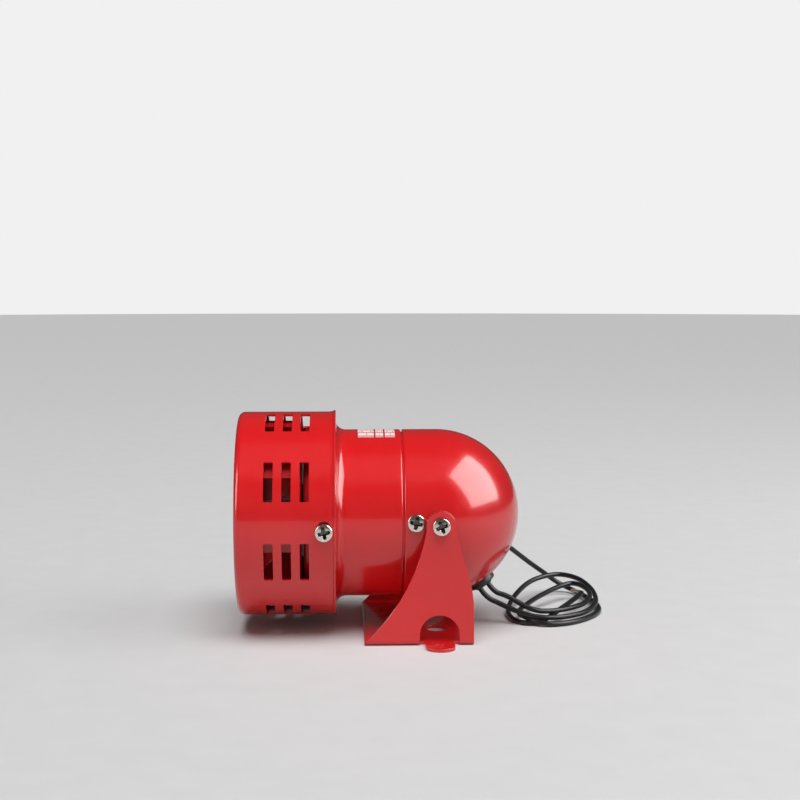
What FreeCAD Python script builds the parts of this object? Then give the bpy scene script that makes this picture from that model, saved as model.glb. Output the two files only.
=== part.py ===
import FreeCAD, Part
import math
import os

# Motor-driven alarm siren on a U bracket. Millimetres, +Z up.
# Origin: underside of the bracket base, straight below the tilt pivot.
# The siren's axis runs along X: the slotted drum is at -X and the closed dome at +X.

V = FreeCAD.Vector

# ---- driving dimensions: siren body -------------------------------------------------
axis_height = 52.0            # siren axis above the bracket's underside

drum_radius = 46.0            # slotted drum, outside
drum_wall = 1.0
drum_front_x = -89.4
drum_rear_x = -46.6
drum_nose_radius = 2.8        # rounding between the drum's side and its front face
intake_radius = 31.0          # round air opening in the drum's front face
intake_lip_radius = 2.5       # the opening's edge is rolled inwards

slot_groups = 8
slot_group_clock = 19.6       # first group's centre, degrees from +Y towards +Z
slot_arc = 22.5               # degrees that one slot spans
slot_width = 4.0
slot_pitch = 7.75
slots_per_group = 3
first_slot_x = -74.5          # centre of the slot nearest the intake
slot_corner_radius = 0.6

housing_radius = 37.8         # motor housing and dome, outside
shell_wall = 1.0              # sheet of the housing and the dome
flange_proud = 0.6            # housing flange, beyond the drum's side
flange_front_x = -46.5
flange_fillet = 4.4           # from the flange to the housing's side, outside
seam_x = -15.9                # centre of the groove between housing and dome
seam_gap = 0.6
seam_edge_radius = 0.8
spigot_rear_x = -5.0          # end of the housing's stepped neck inside the dome
nest_gap = 0.2                # radial clearance of one shell inside another

# ---- driving dimensions: mounting plate and rotor -----------------------------------
plate_thickness = 1.2
plate_lip_front_x = -55.0     # the turned lip that the drum is screwed to
plate_dish_step = 1.1         # raised middle of the plate, beyond the housing's radius
rotor_gap_rear = 0.8          # between the plate's raised middle and the rotor's back

rotor_gap_side = 3.1          # between the drum's inside and the rotor
rotor_wall = 1.0
rotor_front_x = -82.0
rotor_rear_x = -60.4
rotor_rim_width = 7.9         # of the rotor's turned-in front rim
rotor_window_arc = 22.0       # degrees that one rotor window spans
rotor_window_front_x = -79.0
rotor_window_rear_x = -62.6
rotor_clock = 15.5            # first window's leading edge, degrees from +Y
vane_thickness = 1.0
vane_inner_radius = 17.0
vane_slope = 18.0             # how far the vane's inner end stands back from its tip

hub_flange_radius = 13.0
hub_flange_thickness = 2.5
hub_radius = 7.5
hub_length = 8.0
hub_rivet_circle = 10.2
hub_rivet_radius = 1.2
hub_rivet_head_radius = 2.1
hub_rivet_head_height = 0.9
rotor_bore_radius = 10.0      # hole in the rotor's back, behind the hub's flange
rotor_washer_radius = 6.0
rotor_washer_thickness = 1.0
rotor_nut_flats = 10.0
rotor_nut_height = 5.0
thread_beyond_nut = 1.5

# ---- driving dimensions: motor --------------------------------------------------------
shaft_radius = 4.0
shaft_nose_radius = 3.0       # threaded front end of the shaft
shaft_rear_x = 19.0
bush_radius = 7.0
bush_clearance = 0.03         # radial running clearance of the shaft in its bushes
boss_radius = 9.2
motor_radius = 28.0           # field stack and end bells, outside
bell_wall = 2.2
bell_front_wall = 4.0
bell_rear_wall = 3.5
stack_front_x = -40.0
stack_rear_x = -12.0
bell_rear_x = 12.0
front_boss_length = 4.5       # bearing boss, inwards from the front bell's wall
rear_boss_length = 5.5        # bearing boss, outwards from the rear bell
bell_window_arc = 32.0        # degrees that each air window of the front bell spans
yoke_inner_radius = 22.6
pole_bore_radius = 16.0
pole_arc = 110.0
air_gap = 0.5
coil_overhang = 6.0
coil_slack = 0.3
armature_slots = 12
armature_slot_width = 2.2
armature_slot_depth = 7.0
winding_overhang = 6.5
commutator_radius = 9.0
coil_arc = 176.0              # degrees that one field coil reaches round
commutator_front_x = -3.0
commutator_rear_x = 7.0
brush_x = 2.0
brush_size = 5.0              # square section
brush_length = 8.0
brush_holder_wall = 1.0
bolt_circle = 25.3
bolt_radius = 2.0
bolt_boss_radius = 2.7
mount_screw_circle = 19.0
mount_screw_radius = 2.0
mount_screw_head_radius = 3.8

# ---- driving dimensions: bracket ------------------------------------------------------
bracket_sheet = 1.5
arm_reach = 5.2               # from the dome's side to each arm's outside face
bend_radius = 1.2             # inside of the bend between base and arm
arm_top_radius = 6.4
arm_front_foot_x = -33.3
arm_rear_foot_x = 14.2
arm_foot_step = 0.9           # height of the arm's front corner
arm_front_hollow = 0.43       # front edge at half height, as a share of the front foot
arm_rear_bend = (0.875, 0.54)     # rear edge's bend, as shares of the rear foot and the axis height
arm_rear_curve = (0.975, 0.40)    # a point on the curve below that bend
arm_rear_straight = 0.26      # height of the upright rear edge, as a share of the axis height
window_x = -0.7               # centre of the arch, the tab and the base slots
window_width = 17.2
window_height = 13.2
tab_width = 12.8
tab_length = 12.6             # beyond the arm's outside face
tab_hole_radius = 2.5
base_slot_width = 8.5
base_slot_length = 11.5
base_slot_y = 15.4
pivot_screw_radius = 2.5
pivot_clearance = 0.05        # radial clearance of the arms on the pivot screws
arm_side_clearance = 0.12     # between the arm and what it turns between
spacer_radius = 6.5

# ---- driving dimensions: screws, grommet, leads ---------------------------------------
screw_head_radius = 4.0
screw_head_height = 2.3
screw_radius = 2.0
screw_hole_clearance = 0.25
nut_flats = 7.0
nut_height = 3.0
drum_screw_gap = 0.1          # between a head and the flange behind it
drum_screw_clock = 182.2      # degrees from +Y towards +Z
drum_screw_count = 3
dome_screw_x = -10.6
dome_screw_clock = 178.8

grommet_angle = 57.0          # below the rear horizontal
grommet_flange_radius = 6.7
grommet_flange_height = 2.0
grommet_neck_radius = 4.9
grommet_nose_height = 1.0
grommet_nose_radius = 4.6      # at its foot; the top is narrower
grommet_nose_top_radius = 4.1
grommet_lead_spacing = 4.4    # between the two leads' centres

lead_diameter = 2.4
lead_hole_clearance = 0.1
tip_diameter = 1.5            # stripped, tinned strands at each lead's end
tip_length = 7.0

label_thickness = 0.15
label_front_x = -35.6
label_block_widths = (7.2, 3.5, 4.5)
label_block_gap = 0.7
label_arc = 44.0
label_clock = 110.0           # the label's edge on the -Y side, degrees from +Y over the top

# ---- worked-out sizes -------------------------------------------------------------------
flange_radius = drum_radius + flange_proud
plate_dish_radius = housing_radius + plate_dish_step
rotor_radius = drum_radius - drum_wall - rotor_gap_side
rotor_ring_radius = rotor_radius - rotor_rim_width
bracket_outer_y = housing_radius + arm_reach
plate_radius = drum_radius - drum_wall - nest_gap
spigot_radius = housing_radius - shell_wall - nest_gap
drum_screw_x = flange_front_x - screw_head_radius - drum_screw_gap
dish_front_x = rotor_rear_x + rotor_gap_rear
bell_front_x = dish_front_x + plate_thickness
arm_inner_y = bracket_outer_y - bracket_sheet
tab_hole_y = bracket_outer_y + tab_length - tab_width / 2
armature_radius = pole_bore_radius - air_gap
vane_count = slot_groups
pitch_angle = 360.0 / slot_groups


# ---- small helpers ----------------------------------------------------------------------
def tube(x0, x1, outer, inner=0.0):
    """Round bar or tube along the siren axis, from x0 to x1."""
    solid = Part.makeCylinder(outer, x1 - x0, V(x0, 0, 0), V(1, 0, 0))
    if inner > 0:
        solid = solid.cut(Part.makeCylinder(inner, x1 - x0, V(x0, 0, 0), V(1, 0, 0)))
    return solid


def outline(points):
    """Closed face in the XY plane from corners; a corner given as (mid, end) is an arc."""
    edges = []
    here = V(*points[0], 0)
    for item in points[1:]:
        if isinstance(item[0], tuple):
            mid, end = V(*item[0], 0), V(*item[1], 0)
            edges.append(Part.Arc(here, mid, end).toShape())
        else:
            end = V(*item, 0)
            edges.append(Part.LineSegment(here, end).toShape())
        here = end
    start = V(*points[0], 0)
    if here.distanceToPoint(start) > 1e-6:
        edges.append(Part.LineSegment(here, start).toShape())
    return Part.Face(Part.Wire(edges))


def turned(points):
    """Body of revolution about the siren axis from an outline of (x, radius) corners."""
    return outline(points).revolve(V(0, 0, 0), V(1, 0, 0), 360)


def arc_mid(centre, radius, degrees):
    """Point on an arc, for use as its middle."""
    angle = math.radians(degrees)
    return (centre[0] + radius * math.cos(angle), centre[1] + radius * math.sin(angle))


def sector(x0, x1, inner, outer, start, sweep):
    """Part of a ring about the siren axis; angles run from +Y towards +Z."""
    face = outline([(x0, inner), (x1, inner), (x1, outer), (x0, outer)])
    solid = face.revolve(V(0, 0, 0), V(1, 0, 0), sweep)
    return spun(solid, start)


def spun(shape, degrees):
    """Copy turned about the siren axis."""
    copy = shape.copy()
    copy.rotate(V(0, 0, 0), V(1, 0, 0), degrees)
    return copy


def spread(shape, count, start=0.0):
    """Evenly spaced copies about the siren axis."""
    return [spun(shape, start + 360.0 * i / count) for i in range(count)]


def joined(shapes):
    """One solid from pieces that touch or overlap."""
    result = shapes[0]
    for shape in shapes[1:]:
        result = result.fuse(shape)
    return result.removeSplitter()


def cut_all(solid, cutters):
    return solid.cut(Part.makeCompound(list(cutters)))


def raised(shape):
    """Copy moved from the siren axis to its height above the bracket base."""
    copy = shape.copy()
    copy.translate(V(0, 0, axis_height))
    return copy


def radial(shape, x, degrees):
    """Copy of a shape built along +Z, pointing outwards from the siren axis at x."""
    copy = shape.copy()
    copy.rotate(V(0, 0, 0), V(1, 0, 0), degrees - 90)
    copy.translate(V(x, 0, 0))
    return copy


def hexagon(flats, z0, z1):
    """Hexagonal prism along Z."""
    corner = flats / math.sqrt(3)
    points = [V(corner * math.cos(math.radians(60 * i)), corner * math.sin(math.radians(60 * i)), z0)
              for i in range(7)]
    return Part.Face(Part.makePolygon(points)).extrude(V(0, 0, z1 - z0))


def rod(z0, z1, radius):
    """Round bar along Z."""
    return Part.makeCylinder(radius, z1 - z0, V(0, 0, z0))


def pan_screw(seat_z, tip_z, radius=None):
    """Cross-recess pan-head screw along Z; the head stands above seat_z."""
    shank = radius or screw_radius
    crown = 3.4 * screw_head_height
    head = rod(seat_z, seat_z + screw_head_height, screw_head_radius)
    ball = Part.makeSphere(crown, V(0, 0, seat_z + screw_head_height - crown))
    head = head.common(ball)
    recess = []
    for angle in (0, 90):
        blade = Part.makeBox(4.6, 0.9, screw_head_height, V(-2.3, -0.45, seat_z + 0.9))
        blade.rotate(V(0, 0, 0), V(0, 0, 1), angle)
        recess.append(blade)
    recess.append(Part.makeCone(0.2, 1.5, screw_head_height, V(0, 0, seat_z + 0.7)))
    return cut_all(head.fuse(rod(tip_z, seat_z, shank)).removeSplitter(), recess)


def write(name, shape):
    """Check and save one node."""
    solids = shape.Solids
    for solid in solids:
        if not solid.isValid() or solid.Volume <= 0:
            print("CHECK", name, "has an invalid solid")
    shape.exportStep("parts/" + name + ".step")
    print("%-24s solids %2d  volume %9.1f" % (name, len(solids), sum(s.Volume for s in solids)))


def export(name, pieces):
    """Save one solid or a group of separate solids as a node."""
    solids = [s for piece in (pieces if isinstance(pieces, list) else [pieces]) for s in piece.Solids]
    write(name, solids[0] if len(solids) == 1 else Part.makeCompound(solids))


# ---- shells -----------------------------------------------------------------------------
def drum_profile():
    """Sheet-metal section of the drum, from its rear edge round the nose to the intake."""
    r, t, n, lip = drum_radius, drum_wall, drum_nose_radius, intake_lip_radius
    x, i = drum_front_x, intake_radius
    nose = (x + n, r - n)
    roll = (x + lip, i + lip)
    return [(drum_rear_x, r), (x + n, r), (arc_mid(nose, n, 135), (x, r - n)), (x, i + lip),
            (arc_mid(roll, lip, 225), (x + lip, i)), (x + lip, i + t),
            (arc_mid(roll, lip - t, 225), (x + t, i + lip)), (x + t, r - n),
            (arc_mid(nose, n - t, 135), (x + n, r - t)), (drum_rear_x, r - t)]


def slot_cutter(x):
    """One slot with rounded corners, centred on +Y."""
    block = sector(x - slot_width / 2, x + slot_width / 2, drum_radius - 4, drum_radius + 4,
                   -slot_arc / 2, slot_arc)
    corners = [e for e in block.Edges
               if e.Length > 7.9 and abs(e.Vertexes[0].X - e.Vertexes[1].X) < 1e-6
               and isinstance(e.Curve, Part.Line)]
    return block.makeFillet(slot_corner_radius, corners)


def screw_slot():
    """Adjusting slot in the drum for one drum screw; it runs a little past the head."""
    width = 2 * screw_radius + 1.6
    reach = screw_head_radius + 0.9
    slot = Part.makeBox(width, reach - width / 2, 8, V(-width / 2, 0, drum_radius - 5))
    slot = slot.fuse(rod(drum_radius - 5, drum_radius + 3, width / 2))
    end = rod(drum_radius - 5, drum_radius + 3, width / 2)
    end.translate(V(0, reach - width / 2, 0))
    return slot.fuse(end).removeSplitter()


def stator_drum():
    drum = turned(drum_profile())
    cutters = []
    for k in range(slots_per_group):
        one = slot_cutter(first_slot_x + k * slot_pitch)
        cutters += spread(one, slot_groups, slot_group_clock)
    for k in range(drum_screw_count):
        cutters.append(radial(screw_slot(), drum_screw_x, drum_screw_clock + 360.0 * k / drum_screw_count))
    return cut_all(drum, cutters)


def motor_mounting_plate():
    """Dished plate inside the drum: turned lip, flat web and a raised middle for the motor."""
    t, r, d = plate_thickness, plate_radius, plate_dish_radius
    web = flange_front_x
    front = dish_front_x
    bend = 1.6
    plate = turned([(plate_lip_front_x, r), (web - bend, r),
                    (arc_mid((web - bend, r - bend), bend, 45), (web, r - bend)),
                    (web, d - t), (front + t, d - t), (front + t, boss_radius + 1),
                    (front, boss_radius + 1), (front, d - bend),
                    (arc_mid((front + bend, d - bend), bend, 135), (front + bend, d)),
                    (web - t, d), (web - t, r - t), (plate_lip_front_x, r - t)])
    holes = [radial(rod(r - 6, r + 2, screw_radius), drum_screw_x,
                    drum_screw_clock + 360.0 * k / drum_screw_count) for k in range(drum_screw_count)]
    for k in range(4):
        hole = mount_screw_solid(0.1)
        holes.append(spun(hole, 90 * k + 45))
    return cut_all(plate, holes)


def motor_housing():
    """Drawn can: flange against the plate, straight side, stepped neck inside the dome."""
    r, t, f = housing_radius, shell_wall, flange_fillet
    face = flange_front_x
    back = face + t
    root = (back + f, r + f)
    edge = seam_x - seam_gap / 2
    e = seam_edge_radius
    return cut_all(turned([(face, flange_radius), (back, flange_radius), (back, r + f),
                           (arc_mid(root, f, 225), (back + f, r)), (edge - e, r),
                           (arc_mid((edge - e, r - e), e, 45), (edge, r - e)),
                           (edge, spigot_radius), (spigot_rear_x, spigot_radius),
                           (spigot_rear_x, spigot_radius - t), (edge - 3 * t, spigot_radius - t),
                           (edge - 5 * t, r - t), (back + f, r - t),
                           (arc_mid(root, f + t, 225), (face, r + f))]),
                   [radial(rod(r - 6, r + 2, screw_radius), dome_screw_x, dome_screw_clock + 180 * k)
                    for k in range(2)])


def dome_solid(radius, front_x):
    """Solid of revolution with a hemispherical rear end centred on the pivot."""
    return turned([(front_x, 0), (front_x, radius), (0, radius),
                   (arc_mid((0, 0), radius, 45), (radius, 0))])


def grommet_placed(shape):
    """Copy of a shape built along +Z from the pivot, turned to the grommet's direction."""
    copy = shape.copy()
    copy.rotate(V(0, 0, 0), V(0, 1, 0), 90 + grommet_angle)
    return copy


def rear_dome():
    front = seam_x + seam_gap / 2
    e = seam_edge_radius
    outside = dome_solid(housing_radius, front)
    rim = [edge for edge in outside.Edges
           if abs(edge.BoundBox.XMin - front) < 1e-6 and abs(edge.BoundBox.XMax - front) < 1e-6
           and edge.BoundBox.ZMax > housing_radius - 1e-3]
    shell = outside.makeFillet(e, rim).cut(dome_solid(housing_radius - shell_wall, front))
    holes = [grommet_placed(rod(housing_radius - 5, housing_radius + 5, grommet_neck_radius))]
    for side in (0, 180):
        hole = rod(housing_radius - 5, housing_radius + 3, screw_radius + screw_hole_clearance)
        holes.append(radial(hole, dome_screw_x, dome_screw_clock + side))
        holes.append(radial(rod(housing_radius - 5, housing_radius + 3,
                                pivot_screw_radius + screw_hole_clearance), 0, side))
    return cut_all(shell, holes)


# ---- rotor ------------------------------------------------------------------------------
def rotor():
    """Stamped cup: back, side wall with windows, turned-in front rim, one vane per window."""
    r, t = rotor_radius, rotor_wall
    x0, x1 = rotor_front_x, rotor_rear_x
    round_off = 1.5
    cup = turned([(x1, rotor_bore_radius), (x1, r - round_off),
                  (arc_mid((x1 - round_off, r - round_off), round_off, 45), (x1 - round_off, r)),
                  (x0, r), (x0, rotor_ring_radius), (x0 + t, rotor_ring_radius), (x0 + t, r - t),
                  (x1 - t, r - t), (x1 - t, rotor_bore_radius)])
    window = sector(rotor_window_front_x, rotor_window_rear_x, r - 4, r + 2, 0, rotor_window_arc)
    cup = cut_all(cup, spread(window, vane_count, rotor_clock))
    root = r - t / 2
    vane = Part.Face(Part.makePolygon([V(x1 - t / 2, 0, vane_inner_radius), V(x1 - t / 2, 0, root),
                                       V(x0 + t / 2, 0, root), V(x0 + t / 2, 0, root - 1.5),
                                       V(x0 + vane_slope, 0, vane_inner_radius),
                                       V(x1 - t / 2, 0, vane_inner_radius)]))
    vane = vane.extrude(V(0, -vane_thickness, 0))
    vanes = spread(vane, vane_count, rotor_clock + rotor_window_arc - 90)
    holes = [spun(tube(x1 - 4, x1 + 2, hub_rivet_radius), 0)]
    holes[0].translate(V(0, 0, hub_rivet_circle))
    wheel = joined([cup] + vanes)
    return cut_all(wheel, spread(holes[0], 4))


def rotor_hub():
    back = rotor_rear_x - rotor_wall
    step = back - hub_flange_thickness
    hub = turned([(back, shaft_nose_radius), (back, hub_flange_radius), (step, hub_flange_radius),
                  (step, hub_radius), (step - hub_length, hub_radius),
                  (step - hub_length, shaft_nose_radius)])
    hole = tube(step - 1, back + 1, hub_rivet_radius)
    hole.translate(V(0, 0, hub_rivet_circle))
    return cut_all(hub, spread(hole, 4))


def hub_rivets():
    front = rotor_rear_x - rotor_wall - hub_flange_thickness
    body = tube(front, rotor_rear_x, hub_rivet_radius)
    head = tube(front - hub_rivet_head_height, front, hub_rivet_head_radius)
    rivet = body.fuse(head).removeSplitter()
    rivet.translate(V(0, 0, hub_rivet_circle))
    return spread(rivet, 4)


def hub_nose_x():
    return rotor_rear_x - rotor_wall - hub_flange_thickness - hub_length


def rotor_washer():
    return tube(hub_nose_x() - rotor_washer_thickness, hub_nose_x(), rotor_washer_radius, shaft_nose_radius)


def rotor_nut():
    chamfer = Part.makeCone(0.74 * rotor_nut_flats, 0.46 * rotor_nut_flats, 1.3 * rotor_nut_height,
                            V(0, 0, -0.8))
    nut = hexagon(rotor_nut_flats, 0, rotor_nut_height).common(chamfer)
    nut = nut.cut(rod(-1, rotor_nut_height + 2, shaft_nose_radius))
    nut.rotate(V(0, 0, 0), V(0, 1, 0), -90)
    nut.translate(V(hub_nose_x() - rotor_washer_thickness, 0, 0))
    return nut


def motor_shaft():
    """Shaft shouldered behind the rotor, with a threaded nose for the rotor nut."""
    shoulder = rotor_rear_x - rotor_wall
    nose = hub_nose_x() - rotor_washer_thickness - rotor_nut_height - thread_beyond_nut
    return turned([(nose, 0), (nose, shaft_nose_radius - 0.5), (nose + 0.5, shaft_nose_radius),
                   (shoulder, shaft_nose_radius), (shoulder, shaft_radius),
                   (shaft_rear_x - 0.5, shaft_radius), (shaft_rear_x, shaft_radius - 0.5),
                   (shaft_rear_x, 0)])


# ---- motor ------------------------------------------------------------------------------
def mount_screw_solid(grow=0.0):
    """Countersunk screw, flush in the raised middle of the mounting plate, on +Y."""
    head, shank = mount_screw_head_radius + grow, mount_screw_radius + grow
    sink = mount_screw_head_radius - mount_screw_radius
    x = dish_front_x
    screw = turned([(x, 0), (x, head), (x + sink, shank), (x + plate_thickness + bell_front_wall, shank),
                    (x + plate_thickness + bell_front_wall, 0)])
    screw.translate(V(0, mount_screw_circle, 0))
    return screw


def mount_screws():
    return spread(mount_screw_solid(), 4, 45)


def bell(closed_x, open_x, wall, boss_tip_x):
    """Cup-shaped end bell with a bearing boss and bolt bosses; its bolt bars and its bore."""
    low, high = sorted((closed_x, open_x))
    inner_low = low + wall if closed_x < open_x else low
    inner_high = high if closed_x < open_x else high - wall
    cup = tube(low, high, motor_radius).cut(tube(inner_low, inner_high, motor_radius - bell_wall))
    boss_low, boss_high = sorted((closed_x, boss_tip_x))
    post = tube(low, high, bolt_boss_radius)
    post.translate(V(0, bolt_circle, 0))
    posts = [p.common(tube(low, high, motor_radius)) for p in spread(post, 4, 45)]
    solid = joined([cup, tube(boss_low, boss_high, boss_radius)] + posts)
    bolt = tube(low - 1, high + 1, bolt_radius)
    bolt.translate(V(0, bolt_circle, 0))
    bore = tube(min(low, boss_low) - 1, max(high, boss_high) + 1, bush_radius)
    return solid, spread(bolt, 4, 45), bore


def front_end_bell():
    solid, bolts, bore = bell(bell_front_x, stack_front_x, bell_front_wall,
                              bell_front_x + bell_front_wall + front_boss_length)
    window = sector(bell_front_x + bell_front_wall + 3, stack_front_x - 3,
                    motor_radius - 6, motor_radius + 2, -bell_window_arc / 2, bell_window_arc)
    return cut_all(solid, spread(window, 2) + bolts + [bore] + spread(mount_screw_solid(), 4, 45))


def rear_end_bell():
    solid, bolts, bore = bell(bell_rear_x, stack_rear_x, bell_rear_wall, bell_rear_x + rear_boss_length)
    side = brush_size + 2 * brush_holder_wall + 0.2
    port = Part.makeBox(side, side, 12, V(brush_x - side / 2, -side / 2, motor_radius - 6))
    ports = [port, spun(port, 180)]
    return cut_all(solid, bolts + [bore] + ports)


def front_bush():
    return tube(bell_front_x + 0.3, bell_front_x + bell_front_wall + front_boss_length, bush_radius,
                shaft_radius + bush_clearance)


def rear_bush():
    return tube(bell_rear_x - bell_rear_wall, bell_rear_x + rear_boss_length, bush_radius,
                shaft_radius + bush_clearance)


def field_stack():
    """Laminated ring with two poles that reach in to the armature."""
    ring = tube(stack_front_x, stack_rear_x, motor_radius, yoke_inner_radius)
    pole = sector(stack_front_x, stack_rear_x, pole_bore_radius, yoke_inner_radius + 0.5,
                  -pole_arc / 2, pole_arc)
    bolt = tube(stack_front_x - 1, stack_rear_x + 1, bolt_radius)
    bolt.translate(V(0, bolt_circle, 0))
    return cut_all(joined([ring, pole, spun(pole, 180)]), spread(bolt, 4, 45))


def field_coils():
    """One coil wrapped round each pole."""
    s = coil_slack
    inner, outer = pole_bore_radius + 0.8, yoke_inner_radius - s
    coil = sector(stack_front_x - coil_overhang, stack_rear_x + coil_overhang, inner, outer,
                  -coil_arc / 2, coil_arc)
    core = sector(stack_front_x - s, stack_rear_x + s, inner - 1, outer + 1,
                  -pole_arc / 2 - 1.2, pole_arc + 2.4)
    coil = coil.cut(core)
    return [coil, spun(coil, 180)]


def armature_slot(grow):
    """Bar along one armature slot, on +Z."""
    width = armature_slot_width - 2 * grow
    depth = armature_slot_depth - grow
    return Part.makeBox(stack_rear_x - stack_front_x, width, depth,
                        V(stack_front_x, -width / 2, armature_radius - armature_slot_depth + grow))


def armature_core():
    core = tube(stack_front_x + 1, stack_rear_x - 1, armature_radius, shaft_radius)
    opened = armature_slot(0.0)
    opened.translate(V(0, 0, 1.5))
    return cut_all(core, spread(armature_slot(0.0), armature_slots) + spread(opened, armature_slots))


def armature_windings():
    """End turns at both ends, joined by the wires that fill the slots."""
    inner, outer = shaft_radius + 2.5, armature_radius - 0.8
    ends = []
    for near, far in ((stack_front_x + 0.9, stack_front_x - winding_overhang),
                      (stack_rear_x - 0.9, stack_rear_x + winding_overhang)):
        end = tube(min(near, far), max(near, far), outer, inner)
        rims = [e for e in end.Edges if abs(e.BoundBox.XMin - far) < 1e-6 and abs(e.BoundBox.XMax - far) < 1e-6]
        ends.append(end.makeFillet(2.2, rims))
    return joined(ends + spread(armature_slot(0.1), armature_slots))


def commutator():
    """Copper drum with the gaps between its bars."""
    body = tube(commutator_front_x, commutator_rear_x, commutator_radius, shaft_radius)
    gap = Part.makeBox(commutator_rear_x - commutator_front_x + 2, 0.4, 1.0,
                       V(commutator_front_x - 1, -0.2, commutator_radius - 0.5))
    return cut_all(body, spread(gap, 2 * armature_slots))


def brush_piece(low, high, size):
    return Part.makeBox(size, size, high - low, V(brush_x - size / 2, -size / 2, low))


def carbon_brushes():
    tip = commutator_radius + 0.06
    brush = brush_piece(tip - 1, tip + brush_length, brush_size - 0.1)
    brush = brush.cut(tube(brush_x - 6, brush_x + 6, tip))
    return [brush, spun(brush, 180)]


def brush_holders():
    low, high = commutator_radius + 1.5, motor_radius + 0.8
    outside = brush_piece(low, high, brush_size + 2 * brush_holder_wall)
    holder = outside.cut(brush_piece(low - 1, high - 1.2, brush_size))
    return [holder, spun(holder, 180)]


def brush_springs():
    """Coiled spring behind each brush, up to the holder's end."""
    low = commutator_radius + 0.06 + brush_length + 0.05
    high = motor_radius + 0.8 - 1.25
    turns, wire = 5, 0.35
    radius = brush_size / 2 - wire - 0.2
    pitch = (high - low - 2 * wire) / turns
    helix = Part.makeHelix(pitch, pitch * turns, radius)
    section = Part.Wire(Part.makeCircle(wire, V(radius, 0, 0), V(0, 1, 0)))
    spring = Part.Wire(helix.Edges).makePipeShell([section], True, True)
    spring.translate(V(brush_x, 0, low + wire))
    return [spring, spun(spring, 180)]


def through_bolts():
    front = stack_front_x - 10
    bolt = tube(front, bell_rear_x, bolt_radius).fuse(tube(bell_rear_x, bell_rear_x + 2.5, bolt_boss_radius))
    bolt = bolt.removeSplitter()
    bolt.translate(V(0, bolt_circle, 0))
    return spread(bolt, 4, 45)


# ---- electrical pieces in the dome --------------------------------------------------------
terminal_size = (7.0, 16.0, 8.0)
terminal_top_z = -12.0
terminal_depth = 3.0          # how far a lead goes into the block
capacitor_size = (13.0, 6.0, 12.0)


def terminal_block():
    x, y, z = terminal_size
    block = Part.makeBox(x, y, z, V(bell_rear_x, -y / 2, terminal_top_z - z))
    ways = [Part.makeCylinder(lead_diameter / 2, x, V(bell_rear_x + x - terminal_depth, side * y / 4,
                                                      terminal_top_z - z / 2), V(1, 0, 0))
            for side in (-1, 1)]
    return cut_all(block, ways)


def suppression_capacitor():
    x, y, z = capacitor_size
    body = Part.makeBox(x, y, z, V(bell_rear_x, -y / 2, boss_radius + 2.0))
    return body.makeFillet(1.0, [e for e in body.Edges if e.Length < z + x])


# ---- screws and nuts of the shells --------------------------------------------------------
def wall_nut(outer_radius, bore):
    """Square-cornered insert nut whose outer face follows the shell it is welded to."""
    nut = hexagon(nut_flats, outer_radius - nut_height, outer_radius + 1)
    nut = nut.common(tube(-10, 10, outer_radius))
    return nut.cut(rod(outer_radius - 6, outer_radius + 3, bore))


def drum_screws():
    """Thread-forming screws: they cut their thread in the plate's turned lip."""
    screw = pan_screw(drum_radius, plate_radius - plate_thickness - 3.0)
    return [radial(screw, drum_screw_x, drum_screw_clock + 360.0 * k / drum_screw_count)
            for k in range(drum_screw_count)]


def dome_screws():
    screw = pan_screw(housing_radius, spigot_radius - shell_wall - nut_height)
    return [radial(screw, dome_screw_x, dome_screw_clock + 180 * k) for k in range(2)]


def dome_screw_nuts():
    nut = wall_nut(spigot_radius - shell_wall, screw_radius)
    return [radial(nut, dome_screw_x, dome_screw_clock + 180 * k) for k in range(2)]


def pivot_screws():
    seat = bracket_outer_y + arm_side_clearance
    screw = pan_screw(seat, housing_radius - shell_wall - nut_height - 1.2, pivot_screw_radius)
    return [radial(screw, 0, side) for side in (0, 180)]


def pivot_nuts():
    inside = housing_radius - shell_wall
    nut = hexagon(8.0, inside - nut_height - 1.0, inside + 1)
    nut = nut.common(radial(dome_solid(inside, -10), 0, 90))
    nut = nut.cut(rod(inside - 6, inside + 3, pivot_screw_radius))
    return [radial(nut, 0, side) for side in (0, 180)]


def pivot_spacers():
    """Bush between the dome and the arm; its inner end follows the dome."""
    spacer = rod(housing_radius - 3, arm_inner_y - arm_side_clearance, spacer_radius)
    spacer = spacer.cut(rod(0, 60, pivot_screw_radius))
    spacer = spacer.cut(dome_solid(housing_radius, -20))
    return [radial(spacer, 0, side) for side in (0, 180)]


# ---- grommet ------------------------------------------------------------------------------
def cable_grommet():
    r = housing_radius
    outer = rod(r - shell_wall - 1.6, r + grommet_flange_height, grommet_flange_radius)
    rim = [e for e in outer.Edges if abs(e.BoundBox.ZMin - r - grommet_flange_height) < 1e-6]
    outer = outer.makeFillet(0.7, rim)
    nose = Part.makeCone(grommet_nose_radius, grommet_nose_top_radius, grommet_nose_height,
                         V(0, 0, r + grommet_flange_height))
    body = outer.fuse(nose).removeSplitter()
    wall = dome_solid(r, -20).cut(dome_solid(r - shell_wall, -20))
    wall = wall.copy()
    wall.rotate(V(0, 0, 0), V(0, 1, 0), -90 - grommet_angle)
    wall = wall.cut(rod(r - 5, r + 5, grommet_neck_radius))
    body = body.cut(wall)
    for side in (-1, 1):
        hole = rod(r - 6, r + 8, lead_diameter / 2 + lead_hole_clearance)
        hole.translate(V(side * grommet_lead_spacing / 2, 0, 0))
        body = body.cut(hole)
    return grommet_placed(body)


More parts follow.
